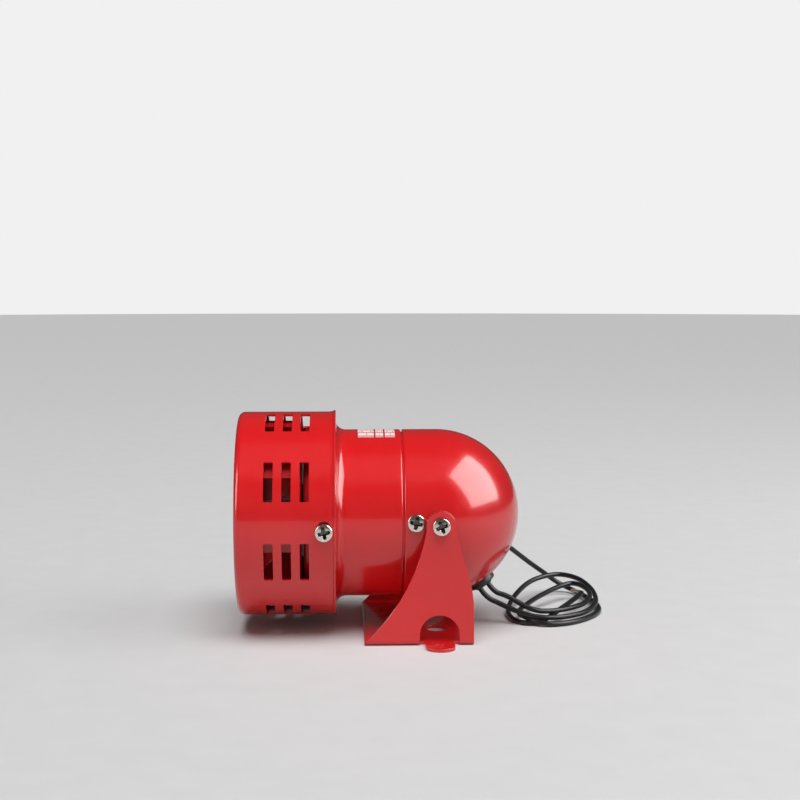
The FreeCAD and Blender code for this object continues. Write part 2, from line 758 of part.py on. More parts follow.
# ---- bracket ------------------------------------------------------------------------------
def arm_outline():
    """Side view of the bracket, (x, z), from the foot up the hollow front edge and down."""
    z, r = axis_height, arm_top_radius
    front, rear = arm_front_foot_x, arm_rear_foot_x
    return outline([(front, 0), (front, arm_foot_step),
                    ((arm_front_hollow * front, 0.5 * z), (-r, z - 1.5)),
                    ((0, z + r), (r, z - 1.0)),
                    (arm_rear_bend[0] * rear, arm_rear_bend[1] * z),
                    ((arm_rear_curve[0] * rear, arm_rear_curve[1] * z), (rear, arm_rear_straight * z)),
                    (rear, 0)])


def channel():
    """U section of the bracket, run along X."""
    y, t, b = bracket_outer_y, bracket_sheet, bend_radius
    top = axis_height + arm_top_radius + 5
    low, high = arm_front_foot_x - 5, arm_rear_foot_x + 5
    outer = Part.makeBox(high - low, 2 * y, top, V(low, -y, 0))
    outer = outer.makeFillet(b + t, [e for e in outer.Edges if e.Length > high - low - 1e-3
                                     and abs(e.BoundBox.ZMax) < 1e-6])
    inner = Part.makeBox(high - low, 2 * (y - t), top, V(low, -(y - t), t))
    inner = inner.makeFillet(b, [e for e in inner.Edges if e.Length > high - low - 1e-3
                                 and abs(e.BoundBox.ZMax - t) < 1e-6])
    return outer.cut(inner)


def upright(face, y0, y1):
    """Solid from a side-view face, spanning y0 to y1."""
    solid = face.extrude(V(0, 0, y1 - y0))
    solid.rotate(V(0, 0, 0), V(1, 0, 0), 90)
    solid.translate(V(0, y1, 0))
    return solid


def arch_outline():
    half = window_width / 2
    leg = window_height - half
    return outline([(window_x - half, -1), (window_x - half, leg),
                    ((window_x, window_height), (window_x + half, leg)), (window_x + half, -1)])


def mounting_bracket():
    y, t = bracket_outer_y, bracket_sheet
    solid = channel().common(upright(arm_outline(), -y - 1, y + 1))
    deep = t + bend_radius
    for side in (-1, 1):
        arch = upright(arch_outline(), -deep, 1)
        if side < 0:
            arch.rotate(V(window_x, 0, 0), V(0, 0, 1), 180)
        arch.translate(V(0, side * y, 0))
        solid = solid.cut(arch)
    end = tab_width / 2
    for side in (-1, 1):
        straight = y + tab_length - end
        tab = Part.makeBox(tab_width, straight - (y - deep), t, V(window_x - end, y - deep, 0))
        tip = Part.makeCylinder(end, t, V(window_x, straight, 0))
        tab = tab.fuse(tip).removeSplitter()
        if side < 0:
            tab.rotate(V(window_x, 0, 0), V(0, 0, 1), 180)
        solid = solid.fuse(tab)
    solid = solid.removeSplitter()
    holes = []
    for side in (-1, 1):
        holes.append(Part.makeCylinder(tab_hole_radius, t + 2, V(window_x, side * tab_hole_y, -1)))
        holes.append(Part.makeCylinder(pivot_screw_radius + pivot_clearance, 6,
                                       V(0, side * (y - 4 if side > 0 else y + 2), axis_height), V(0, 1, 0)))
        holes += slotted_hole(side * base_slot_y)
    return cut_all(solid, holes)


def slotted_hole(y):
    radius = base_slot_width / 2
    half = (base_slot_length - base_slot_width) / 2
    height = bracket_sheet + 2
    middle = Part.makeBox(base_slot_width, 2 * half, height, V(window_x - radius, y - half, -1))
    ends = [Part.makeCylinder(radius, height, V(window_x, y + s * half, -1)) for s in (-1, 1)]
    return [joined([middle] + ends)]


# ---- leads ----------------------------------------------------------------------------------
# Two single leads leave the grommet, run down to the floor behind the siren and lie in a
# loose coil there. Lead B's end comes out of the coil and leans on the back of the dome.

lead_a_route = [(29.6, -1.2, 9.3), (36.2, -4.2, 6.6), (43.0, -6.6, 4.6)]
lead_b_route = [(32.8, -0.8, 13.0), (39.4, -3.0, 9.2), (46.2, -5.4, 6.4)]
lead_b_tail_route = [(75.5, 52.0, 2.4), (75.0, 60.0, 1.6), (71.6, 66.6, 2.2), (65.4, 68.6, 5.2),
                     (58.4, 63.6, 11.0), (48.0, 52.4, 19.4), (31.6, 31.6, 34.4)]
lead_a_tip_start = (73.0, 33.8, 6.6)
lead_a_tip_direction = (-0.85, 0.5, 0.12)
lead_stub = 5.5               # straight stretch out of the grommet

coil_centre = (57.0, 29.5)    # of the coil's mean turn, on the floor
coil_long = 37.0              # half-length of the mean turn
coil_short = 19.5             # half-width
coil_turn = 13.6              # the long axis leans from +Y towards +X, degrees
coil_band = 4.6               # half-width of the band of turns
coil_height = 7.0
coil_rise = 5.2               # degrees by which the far side lifts off the floor


def grommet_exit(side):
    """Centre of a lead at the grommet's nose; side -1 is the upper lead, 1 the lower."""
    angle = math.radians(grommet_angle)
    reach = housing_radius + grommet_flange_height + grommet_nose_height
    out = V(math.cos(angle), 0, -math.sin(angle))
    across = V(-math.sin(angle), 0, -math.cos(angle))
    return out * reach + across * (side * grommet_lead_spacing / 2) + V(0, 0, axis_height), out


def cord(points, diameter, name):
    """Round cord along straight runs joined by tangent arcs as large as the runs allow."""
    points = [V(*p) for p in points]
    edges = []
    here = points[0]
    radii = []
    for before, corner, after in zip(points, points[1:], points[2:]):
        into = (corner - before).normalize()
        out = (after - corner).normalize()
        half_turn = into.getAngle(out) / 2
        shorter = min(corner.distanceToPoint(before), after.distanceToPoint(corner))
        trim = 0.45 * shorter
        radius = trim / math.tan(half_turn)
        radii.append(radius)
        start, end = corner - into * trim, corner + out * trim
        inwards = (out - into).normalize()
        middle = corner + inwards * (radius / math.cos(half_turn) - radius)
        edges.append(Part.LineSegment(here, start).toShape())
        edges.append(Part.Arc(start, middle, end).toShape())
        here = end
    edges.append(Part.LineSegment(here, points[-1]).toShape())
    path = Part.Wire(edges)
    first = (points[1] - points[0]).normalize()
    section = Part.Wire(Part.makeCircle(diameter / 2, points[0], first))
    solid = path.makePipeShell([section], True, True)
    expected = math.pi * (diameter / 2) ** 2 * path.Length
    print("%s: length %.1f, volume ratio %.4f, bend radii %s"
          % (name, path.Length, solid.Volume / expected, " ".join("%.1f" % r for r in radii)))
    return solid


def lead_a():
    start, out = grommet_exit(1)
    return cord([start, start + out * lead_stub] + lead_a_route, lead_diameter, "lead_a")


def lead_b():
    start, out = grommet_exit(-1)
    return cord([start, start + out * lead_stub] + lead_b_route, lead_diameter, "lead_b")


def lead_b_tail():
    return cord(lead_b_tail_route, lead_diameter, "lead_b_tail")


def lead_b_tip():
    """Stripped and tinned strands at lead B's end, resting on the dome."""
    last, end = V(*lead_b_tail_route[-2]), V(*lead_b_tail_route[-1])
    return Part.makeCylinder(tip_diameter / 2, tip_length, end, end - last)


def coil_ellipse(grow, height):
    """Elliptic block on the floor, its outline offset from the coil's mean turn."""
    flat = Part.Ellipse(V(0, 0, 0), coil_long + grow, coil_short + grow).toShape()
    block = Part.Face(Part.Wire(flat)).extrude(V(0, 0, height))
    block.rotate(V(0, 0, 0), V(0, 0, 1), 90 - coil_turn)
    block.translate(V(coil_centre[0], coil_centre[1], 0))
    return block


def coil_solid(shape):
    """Copy tipped up about the coil's near edge."""
    copy = shape.copy()
    near = coil_centre[1] - (coil_long + coil_band) * math.cos(math.radians(coil_turn))
    copy.rotate(V(0, near, 0), V(1, 0, 0), coil_rise)
    return copy


def lead_coil():
    ring = coil_ellipse(coil_band, coil_height)
    hole = coil_ellipse(-coil_band, coil_height + 2)
    hole.translate(V(0, 0, -1))
    return coil_solid(ring.cut(hole))


def lead_a_tip():
    """Stripped and tinned strands at lead A's end, where it comes out of the coil."""
    return Part.makeCylinder(tip_diameter / 2, tip_length, V(*lead_a_tip_start), V(*lead_a_tip_direction))


def inner_leads():
    """The leads' hidden ends: from the terminal block to the grommet's nose."""
    leads = []
    for side, y in ((1, -terminal_size[1] / 4), (-1, terminal_size[1] / 4)):
        end, out = grommet_exit(side)
        x = bell_rear_x + terminal_size[0] - terminal_depth
        z = axis_height + terminal_top_z - terminal_size[2] / 2
        route = [(x, y, z), (x + 6.0, y, z), (x + 7.5, y * 0.6, z - 2.5), end - out * 11.5, end]
        leads.append(cord(route, lead_diameter, "inner_leads"))
    return leads


# ---- label ----------------------------------------------------------------------------------
def rating_label():
    """Three blank printed patches on top of the housing."""
    blocks = []
    x = label_front_x
    for width in label_block_widths:
        blocks.append(sector(x, x + width, housing_radius + 0.02, housing_radius + 0.02 + label_thickness,
                             label_clock - label_arc, label_arc))
        x += width + label_block_gap
    return blocks


os.makedirs("parts", exist_ok=True)
nodes = {
    "stator_drum": stator_drum, "motor_mounting_plate": motor_mounting_plate,
    "motor_housing": motor_housing, "rear_dome": rear_dome,
    "rotor": rotor, "rotor_hub": rotor_hub, "hub_rivets": hub_rivets,
    "rotor_washer": rotor_washer, "rotor_nut": rotor_nut, "motor_shaft": motor_shaft,
    "mount_screws": mount_screws, "front_end_bell": front_end_bell, "rear_end_bell": rear_end_bell,
    "front_bush": front_bush, "rear_bush": rear_bush, "field_stack": field_stack,
    "field_coils": field_coils, "armature_core": armature_core,
    "armature_windings": armature_windings, "commutator": commutator,
    "carbon_brushes": carbon_brushes, "brush_holders": brush_holders,
    "brush_springs": brush_springs, "through_bolts": through_bolts,
    "terminal_block": terminal_block, "suppression_capacitor": suppression_capacitor,
    "drum_screws": drum_screws,
    "dome_screws": dome_screws, "dome_screw_nuts": dome_screw_nuts,
    "pivot_screws": pivot_screws, "pivot_nuts": pivot_nuts, "pivot_spacers": pivot_spacers,
    "cable_grommet": cable_grommet, "rating_label": rating_label,
}
for name, make in nodes.items():
    made = make()
    export(name, [raised(piece) for piece in (made if isinstance(made, list) else [made])])
for name, make in {"mounting_bracket": mounting_bracket, "inner_leads": inner_leads,
                   "lead_a": lead_a, "lead_b": lead_b, "lead_coil": lead_coil,
                   "lead_b_tail": lead_b_tail, "lead_a_tip": lead_a_tip,
                   "lead_b_tip": lead_b_tip}.items():
    export(name, make())
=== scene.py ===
import bpy
import bmesh
import math
from mathutils import Matrix, Vector


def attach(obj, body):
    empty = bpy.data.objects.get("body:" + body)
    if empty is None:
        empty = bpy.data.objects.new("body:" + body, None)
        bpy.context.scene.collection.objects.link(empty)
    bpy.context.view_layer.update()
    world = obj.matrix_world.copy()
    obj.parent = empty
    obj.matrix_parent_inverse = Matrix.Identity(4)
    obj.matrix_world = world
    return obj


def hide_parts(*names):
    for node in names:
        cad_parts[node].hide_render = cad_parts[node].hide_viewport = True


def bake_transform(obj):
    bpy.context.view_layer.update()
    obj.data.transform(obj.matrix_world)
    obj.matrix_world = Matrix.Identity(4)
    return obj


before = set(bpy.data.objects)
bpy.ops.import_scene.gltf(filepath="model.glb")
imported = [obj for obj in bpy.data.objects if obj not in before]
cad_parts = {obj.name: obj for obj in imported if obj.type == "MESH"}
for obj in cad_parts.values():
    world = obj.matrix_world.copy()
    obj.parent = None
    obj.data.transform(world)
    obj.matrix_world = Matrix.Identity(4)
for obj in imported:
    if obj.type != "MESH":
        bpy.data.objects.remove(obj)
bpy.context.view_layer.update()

mm = 0.001
scene = bpy.context.scene
scene.view_settings.view_transform = "Standard"
scene.view_settings.look = "None"

# sizes that several pieces share, in millimetres; the siren's axis runs along X at this height
siren = {
    "axisHeight": 52.0, "drumRadius": 46.0, "drumWall": 1.0, "shellRadius": 37.8, "shellWall": 1.0,
    "seamX": -15.9, "seamGap": 0.6, "flangeFrontX": -46.5, "grommetAngle": 57.0,
}


view = {
    "eye": (-42.95, -691.8, 159.1), "turn": 2.21, "dip": 4.61, "lens": 68.7,   # degrees, mm
}


def makeCamera():
    data = bpy.data.cameras.new("camera")
    data.lens = view["lens"]
    data.sensor_width = 36
    data.clip_start = 0.01
    data.clip_end = 50
    cam = bpy.data.objects.new("camera", data)
    scene.collection.objects.link(cam)
    cam.location = Vector(view["eye"]) * mm
    cam.rotation_euler = (math.radians(90 - view["dip"]), 0, -math.radians(view["turn"]))
    scene.camera = cam


def newObject(name, mesh):
    obj = bpy.data.objects.new(name, mesh)
    scene.collection.objects.link(obj)
    return obj


def meshFrom(name, points, faces):
    mesh = bpy.data.meshes.new(name)
    mesh.from_pydata([Vector(p) * mm for p in points], [], faces)   # points in mm
    mesh.validate()
    mesh.update()
    return mesh


def smoothShade(mesh):
    for face in mesh.polygons:
        face.use_smooth = True


def sharpByAngle(mesh, degrees=32):
    smoothShade(mesh)
    mesh.set_sharp_from_angle(angle=math.radians(degrees))


def cleanMesh(obj, mergeDistance=0.00001):
    # joins doubles and points every face outwards
    bm = bmesh.new()
    bm.from_mesh(obj.data)
    bmesh.ops.remove_doubles(bm, verts=bm.verts, dist=mergeDistance)
    bmesh.ops.recalc_face_normals(bm, faces=bm.faces)
    bm.to_mesh(obj.data)
    bm.free()
    return obj


def bakeModifiers(obj):
    # the evaluated result becomes the plain mesh, and the modifiers go
    bpy.context.view_layer.update()
    graph = bpy.context.evaluated_depsgraph_get()
    mesh = bpy.data.meshes.new_from_object(obj.evaluated_get(graph), depsgraph=graph)
    old = obj.data
    obj.modifiers.clear()
    obj.data = mesh
    bpy.data.meshes.remove(old)
    mesh.name = obj.name
    return obj


def raiseToAxis(obj):
    obj.data.transform(Matrix.Translation((0, 0, siren["axisHeight"] * mm)))
    return obj


def arc(cx, cy, radius, a0, a1, steps):
    # points of an arc, both ends included; angles in degrees
    turn = [math.radians(a0 + (a1 - a0) * i / steps) for i in range(steps + 1)]
    return [(cx + radius * math.cos(a), cy + radius * math.sin(a)) for a in turn]


def turnedMesh(name, profile, segments=160, closed=True):
    # lathe about the X axis from (x, radius) points; a closed profile is a wall with thickness
    points, faces = [], []
    count = len(profile)
    for i in range(segments):
        a = 2 * math.pi * i / segments
        points += [(x, r * math.cos(a), r * math.sin(a)) for x, r in profile]
    for i in range(segments):
        here, there = i * count, (i + 1) % segments * count
        for k in range(count if closed else count - 1):
            n = (k + 1) % count
            faces.append((here + k, here + n, there + n, there + k))
    obj = cleanMesh(newObject(name, meshFrom(name, points, faces)))
    sharpByAngle(obj.data)
    return obj


def evenNormals(obj):
    # wide faces keep their own normal, so flat sheet shades flat beside its rounded edges
    smoothShade(obj.data)
    even = obj.modifiers.new("even shading", "WEIGHTED_NORMAL")
    even.weight = 80
    even.keep_sharp = False
    return obj


def setMaterial(obj, material):
    obj.data.materials.clear()
    obj.data.materials.append(material)
    return obj


def finishPiece(obj, body, slotName, *nodes):
    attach(obj, body)
    if nodes:
        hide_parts(*nodes)
    return obj


def bevelled(obj, width, segments=2, angle=35):
    edge = obj.modifiers.new("edges", "BEVEL")
    edge.width = width * mm
    edge.segments = segments
    edge.limit_method = "ANGLE"
    edge.angle_limit = math.radians(angle)
    edge.harden_normals = True
    return obj


def startMaterial(name):
    material = bpy.data.materials.new(name)
    material.use_nodes = True
    nodes, links = material.node_tree.nodes, material.node_tree.links
    shader = nodes["Principled BSDF"]
    coords = nodes.new("ShaderNodeTexCoord")
    return material, nodes, links, shader, coords.outputs["Object"]


def addNoise(nodes, links, coords, scale, detail=3.0, roughness=0.5):
    texture = nodes.new("ShaderNodeTexNoise")
    texture.inputs["Scale"].default_value = scale
    texture.inputs["Detail"].default_value = detail
    texture.inputs["Roughness"].default_value = roughness
    links.new(coords, texture.inputs["Vector"])
    return texture.outputs["Fac"]


def addRange(nodes, links, value, low, high, fromLow=0.3, fromHigh=0.7):
    node = nodes.new("ShaderNodeMapRange")
    node.inputs["From Min"].default_value = fromLow
    node.inputs["From Max"].default_value = fromHigh
    node.inputs["To Min"].default_value = low
    node.inputs["To Max"].default_value = high
    links.new(value, node.inputs["Value"])
    return node.outputs["Result"]


def addMix(nodes, links, value, first, second):
    node = nodes.new("ShaderNodeMix")
    node.data_type = "RGBA"
    node.inputs["A"].default_value = (*first, 1)
    node.inputs["B"].default_value = (*second, 1)
    links.new(value, node.inputs["Factor"])
    return node.outputs["Result"]


def addBump(nodes, links, shader, height, distance, strength=1.0):
    node = nodes.new("ShaderNodeBump")
    node.inputs["Distance"].default_value = distance
    node.inputs["Strength"].default_value = strength
    links.new(height, node.inputs["Height"])
    links.new(node.outputs["Normal"], shader.inputs["Normal"])
    return node


paint = {
    "colour": (0.68, 0.010, 0.013), "deepColour": (0.62, 0.008, 0.010),
    "roughness": 0.22, "coat": 0.55, "coatRoughness": 0.03, "orangePeel": 520.0,
}


def paintMaterial(name, colour=None, deep=None, roughness=None, coat=None):
    # stoved gloss enamel: slight tone drift, fine orange peel, a clear glossy skin
    material, nodes, links, shader, coords = startMaterial(name)
    drift = addNoise(nodes, links, coords, 38.0, 4.0)
    tone = addMix(nodes, links, addRange(nodes, links, drift, 0, 1),
                  colour or paint["colour"], deep or paint["deepColour"])
    links.new(tone, shader.inputs["Base Color"])
    gloss = addNoise(nodes, links, coords, 160.0, 5.0)
    base = roughness or paint["roughness"]
    links.new(addRange(nodes, links, gloss, base * 0.85, base * 1.2), shader.inputs["Roughness"])
    shader.inputs["Coat Weight"].default_value = paint["coat"] if coat is None else coat
    shader.inputs["Coat Roughness"].default_value = paint["coatRoughness"]
    shader.inputs["IOR"].default_value = 1.48
    peel = addNoise(nodes, links, coords, paint["orangePeel"], 2.0)
    addBump(nodes, links, shader, peel, 0.00003, 0.55)
    return material


def metalMaterial(name, colour, roughness, grain=900.0, darker=0.75, bump=0.00002, recessShadeTone=None):
    material, nodes, links, shader, coords = startMaterial(name)
    stain = addNoise(nodes, links, coords, 240.0, 5.0)
    tone = addMix(nodes, links, addRange(nodes, links, stain, 0, 1), colour,
                  tuple(c * darker for c in colour))
    # painted shade: the plating goes to a dark tone down in a screw's cross, in place of the recess's shadow
    if recessShadeTone:
        recess = nodes.new("ShaderNodeAttribute")  # 1 down in a screw's cross, 0 elsewhere
        recess.attribute_name = "recess"
        plating = tone
        tone = addMix(nodes, links, recess.outputs["Fac"], colour, recessShadeTone)
        links.new(plating, tone.node.inputs["A"])
    links.new(tone, shader.inputs["Base Color"])
    shader.inputs["Metallic"].default_value = 1.0
    fine = addNoise(nodes, links, coords, grain, 3.0)
    links.new(addRange(nodes, links, fine, roughness * 0.8, roughness * 1.3), shader.inputs["Roughness"])
    addBump(nodes, links, shader, fine, bump, 0.6)
    return material


def plasticMaterial(name, colour, roughness, grain=700.0, bump=0.00004, second=None):
    material, nodes, links, shader, coords = startMaterial(name)
    patch = addNoise(nodes, links, coords, 120.0, 4.0)
    tone = addMix(nodes, links, addRange(nodes, links, patch, 0, 1), colour,
                  second or tuple(c * 0.8 for c in colour))
    links.new(tone, shader.inputs["Base Color"])
    fine = addNoise(nodes, links, coords, grain, 3.0)
    links.new(addRange(nodes, links, fine, roughness * 0.8, roughness * 1.25), shader.inputs["Roughness"])
    addBump(nodes, links, shader, fine, bump, 0.6)
    return material


def laminatedMaterial(name):
    # stacked steel sheets: fine bands across the siren's axis
    material, nodes, links, shader, coords = startMaterial(name)
    bands = nodes.new("ShaderNodeTexWave")
    bands.inputs["Scale"].default_value = 320.0
    bands.inputs["Distortion"].default_value = 0.4
    links.new(coords, bands.inputs["Vector"])
    tone = addMix(nodes, links, bands.outputs["Fac"], (0.16, 0.16, 0.17), (0.42, 0.42, 0.44))
    links.new(tone, shader.inputs["Base Color"])
    shader.inputs["Metallic"].default_value = 0.9
    shader.inputs["Roughness"].default_value = 0.45
    addBump(nodes, links, shader, bands.outputs["Fac"], 0.00008, 0.6)
    return material


def windingMaterial(name):
    # enamelled copper wire laid side by side
    material, nodes, links, shader, coords = startMaterial(name)
    wires = nodes.new("ShaderNodeTexWave")
    wires.wave_type = "RINGS"
    wires.rings_direction = "X"
    wires.inputs["Scale"].default_value = 260.0
    wires.inputs["Distortion"].default_value = 1.2
    wires.inputs["Detail"].default_value = 2.0
    links.new(coords, wires.inputs["Vector"])
    tone = addMix(nodes, links, wires.outputs["Fac"], (0.20, 0.06, 0.02), (0.62, 0.24, 0.09))
    links.new(tone, shader.inputs["Base Color"])
    shader.inputs["Metallic"].default_value = 0.8
    shader.inputs["Roughness"].default_value = 0.35
    addBump(nodes, links, shader, wires.outputs["Fac"], 0.0002, 0.7)
    return material


def leadMaterial(name):
    # smooth black PVC with faint draw marks along the lead
    material, nodes, links, shader = startMaterial(name)[:4]
    uv = nodes.new("ShaderNodeUVMap")
    uv.uv_map = "along"
    stretch = nodes.new("ShaderNodeMapping")
    stretch.inputs["Scale"].default_value = (14.0, 60.0, 1.0)
    links.new(uv.outputs["UV"], stretch.inputs["Vector"])
    marks = addNoise(nodes, links, stretch.outputs["Vector"], 3.0, 3.0)
    tone = addMix(nodes, links, addRange(nodes, links, marks, 0, 1), (0.006, 0.006, 0.007),
                  (0.012, 0.012, 0.013))
    links.new(tone, shader.inputs["Base Color"])
    links.new(addRange(nodes, links, marks, 0.26, 0.40), shader.inputs["Roughness"])
    shader.inputs["Specular IOR Level"].default_value = 0.4
    addBump(nodes, links, shader, marks, 0.00005, 0.4)
    return material


def strandMaterial(name):
    # tinned strands twisted together, seen as slanting ribs
    material, nodes, links, shader = startMaterial(name)[:4]
    uv = nodes.new("ShaderNodeUVMap")
    uv.uv_map = "along"
    ribs = nodes.new("ShaderNodeTexWave")
    ribs.bands_direction = "DIAGONAL"
    ribs.inputs["Scale"].default_value = 3.2
    links.new(uv.outputs["UV"], ribs.inputs["Vector"])
    tone = addMix(nodes, links, ribs.outputs["Fac"], (0.34, 0.27, 0.19), (0.80, 0.72, 0.60))
    links.new(tone, shader.inputs["Base Color"])
    shader.inputs["Metallic"].default_value = 1.0
    shader.inputs["Roughness"].default_value = 0.34
    addBump(nodes, links, shader, ribs.outputs["Fac"], 0.0002, 0.8)
    return material


def labelMaterial(name):
    # printed film: pale ground with plain coloured bars
    material, nodes, links, shader, coords = startMaterial(name)
    uv = nodes.new("ShaderNodeUVMap")
    uv.uv_map = "along"
    blocks = nodes.new("ShaderNodeTexBrick")
    blocks.inputs["Color1"].default_value = (0.86, 0.82, 0.81, 1)
    blocks.inputs["Color2"].default_value = (0.80, 0.70, 0.69, 1)
    blocks.inputs["Mortar"].default_value = (0.72, 0.30, 0.30, 1)
    blocks.inputs["Scale"].default_value = 1.0
    blocks.inputs["Mortar Size"].default_value = 0.035
    blocks.inputs["Brick Width"].default_value = 0.55
    blocks.inputs["Row Height"].default_value = 0.16
    links.new(uv.outputs["UV"], blocks.inputs["Vector"])
    links.new(blocks.outputs["Color"], shader.inputs["Base Color"])
    sheen = addNoise(nodes, links, coords, 300.0, 3.0)
    links.new(addRange(nodes, links, sheen, 0.30, 0.42), shader.inputs["Roughness"])
    addBump(nodes, links, shader, sheen, 0.00002, 0.4)
    return material


materials = {
    "paint": paintMaterial("gloss red enamel"),
    "rotorPaint": paintMaterial("rotor red enamel", (0.52, 0.008, 0.010), (0.40, 0.006, 0.008), 0.34, 0.25),
    # the dark tone in the screws' crosses is painted shade
    "nickel": metalMaterial("bright nickel plate", (0.86, 0.80, 0.72), 0.20, 1500.0, 0.82,
                            recessShadeTone=(0.11, 0.10, 0.09)),
    "zinc": metalMaterial("zinc plate", (0.62, 0.63, 0.64), 0.34),
    "steel": metalMaterial("ground steel", (0.56, 0.56, 0.58), 0.26, 1800.0),
    "castMetal": metalMaterial("die casting", (0.60, 0.60, 0.61), 0.48, 500.0, 0.8, 0.00012),
    "bronze": metalMaterial("sintered bronze", (0.46, 0.31, 0.15), 0.46, 1200.0),
    "copper": metalMaterial("turned copper", (0.74, 0.36, 0.20), 0.28, 1500.0),
    "brass": metalMaterial("brass sheet", (0.72, 0.53, 0.24), 0.30, 1100.0),
    "spring": metalMaterial("spring wire", (0.50, 0.50, 0.52), 0.30, 1600.0),
    "laminations": laminatedMaterial("stacked laminations"),
    "windings": windingMaterial("enamelled windings"),
    "carbon": plasticMaterial("pressed carbon", (0.030, 0.030, 0.032), 0.55, 1400.0),
    "moulding": plasticMaterial("dark moulding", (0.05, 0.06, 0.09), 0.38),
    "rubber": plasticMaterial("black rubber", (0.014, 0.014, 0.015), 0.46, 900.0, 0.00003),
    "spacer": plasticMaterial("spacer nylon", (0.42, 0.012, 0.014), 0.40),
    "lead": leadMaterial("black lead sheath"),
    "strands": strandMaterial("tinned strands"),
    "label": labelMaterial("printed film"),
}
print("materials made")


def ringTree():
    # copies of a mesh evenly round the siren's axis, as one joined mesh
    tree = bpy.data.node_groups.new("evenly round the axis", "GeometryNodeTree")
    face = tree.interface
    face.new_socket(name="Geometry", in_out="INPUT", socket_type="NodeSocketGeometry")
    sockets = {}
    for label, kind, value in (("Count", "NodeSocketInt", 8), ("First Angle", "NodeSocketFloat", 0.0),
                               ("Twist", "NodeSocketFloat", 0.0), ("Merge", "NodeSocketFloat", 0.00001),
                               ("Seed", "NodeSocketInt", 3), ("Material", "NodeSocketMaterial", None)):
        socket = face.new_socket(name=label, in_out="INPUT", socket_type=kind)
        if value is not None:
            socket.default_value = value
        sockets[label] = socket.identifier
    face.new_socket(name="Geometry", in_out="OUTPUT", socket_type="NodeSocketGeometry")
    nodes, links = tree.nodes, tree.links
    start = nodes.new("NodeGroupInput")
    end = nodes.new("NodeGroupOutput")

    def math2(operation, a, b):
        node = nodes.new("ShaderNodeMath")
        node.operation = operation
        for socket, value in zip(node.inputs, (a, b)):
            if isinstance(value, (int, float)):
                socket.default_value = value
            else:
                links.new(value, socket)
        return node.outputs[0]

    line = nodes.new("GeometryNodeMeshLine")
    line.inputs["Offset"].default_value = (0, 0, 0)
    links.new(start.outputs["Count"], line.inputs["Count"])
    index = nodes.new("GeometryNodeInputIndex")
    step = math2("DIVIDE", 2 * math.pi, start.outputs["Count"])
    angle = math2("ADD", math2("MULTIPLY", index.outputs[0], step), start.outputs["First Angle"])
    scatter = nodes.new("FunctionNodeRandomValue")
    links.new(start.outputs["Seed"], scatter.inputs["Seed"])
    swing = math2("MULTIPLY", math2("SUBTRACT", scatter.outputs[1], 0.5), start.outputs["Twist"])
    turnSelf = nodes.new("ShaderNodeCombineXYZ")
    links.new(swing, turnSelf.inputs["Z"])
    spin = nodes.new("ShaderNodeCombineXYZ")
    links.new(angle, spin.inputs["X"])
    place = nodes.new("GeometryNodeInstanceOnPoints")
    links.new(line.outputs["Mesh"], place.inputs["Points"])
    links.new(start.outputs["Geometry"], place.inputs["Instance"])
    twist = nodes.new("GeometryNodeRotateInstances")
    links.new(place.outputs["Instances"], twist.inputs["Instances"])
    links.new(turnSelf.outputs[0], twist.inputs["Rotation"])
    rotate = nodes.new("GeometryNodeRotateInstances")
    rotate.inputs["Local Space"].default_value = False
    links.new(twist.outputs["Instances"], rotate.inputs["Instances"])
    links.new(spin.outputs[0], rotate.inputs["Rotation"])
    real = nodes.new("GeometryNodeRealizeInstances")
    links.new(rotate.outputs["Instances"], real.inputs["Geometry"])
    weld = nodes.new("GeometryNodeMergeByDistance")
    links.new(real.outputs["Geometry"], weld.inputs["Geometry"])
    links.new(start.outputs["Merge"], weld.inputs["Distance"])
    paintNode = nodes.new("GeometryNodeSetMaterial")
    links.new(weld.outputs["Geometry"], paintNode.inputs["Geometry"])
    links.new(start.outputs["Material"], paintNode.inputs["Material"])
    links.new(paintNode.outputs["Geometry"], end.inputs["Geometry"])
    return tree, sockets


ringGroup, ringSockets = ringTree()


def roundTheAxis(obj, count, firstAngle, material, merge=0.00001):
    # repeats the object's mesh round the X axis; firstAngle in degrees from where it was drawn
    ring = obj.modifiers.new("ring", "NODES")
    ring.node_group = ringGroup
    ring[ringSockets["Count"]] = count
    ring[ringSockets["First Angle"]] = math.radians(firstAngle)
    ring[ringSockets["Merge"]] = merge
    ring[ringSockets["Material"]] = material
    return bakeModifiers(obj)


drum = {
    "frontX": -89.4, "rearX": -46.6, "noseRadius": 2.8, "intakeRadius": 31.0, "lipRadius": 2.5,
    "groups": 8, "clock": 19.6, "slotArc": 22.5, "slotWidth": 4.0, "slotCentres": (-59.0, -66.75, -74.5),
    "cornerRadius": 0.6, "rearFlare": 0.35, "edgeRound": 0.42,
}


def drumSection():
    # (x, radius) down the outside, from the rear edge round the nose and into the intake
    r, n, lip = siren["drumRadius"], drum["noseRadius"], drum["lipRadius"]
    front, rear = drum["frontX"], drum["rearX"]
    side = [(rear, r + drum["rearFlare"]), (rear - 0.8, r + 0.12), (rear - 2.0, r), (-54.5, r)]
    c, half = drum["cornerRadius"], drum["slotWidth"] / 2
    for x in drum["slotCentres"]:
        side += [(x + half, r), (x + half - c, r), (x, r), (x - half + c, r), (x - half, r)]
    side += [(-79.0, r), (-83.0, r)]
    side += arc(front + n, r - n, n, 90, 180, 8)
    side += [(front, 40.0), (front, 36.5)]
    side += arc(front + lip, drum["intakeRadius"] + lip, lip, 180, 270, 7)
    return side


def drumAngles():
    half = drum["slotArc"] / 2
    corner = math.degrees(drum["cornerRadius"] / siren["drumRadius"])
    inside = [-half, -half + corner] + [half * (k - 4) / 5 for k in range(1, 8)] + [half - corner, half]
    wide = 180.0 / drum["groups"]
    rest = [half + (wide - half) * (k + 1) / 5 for k in range(5)]
    return sorted([-a for a in rest] + inside + rest)


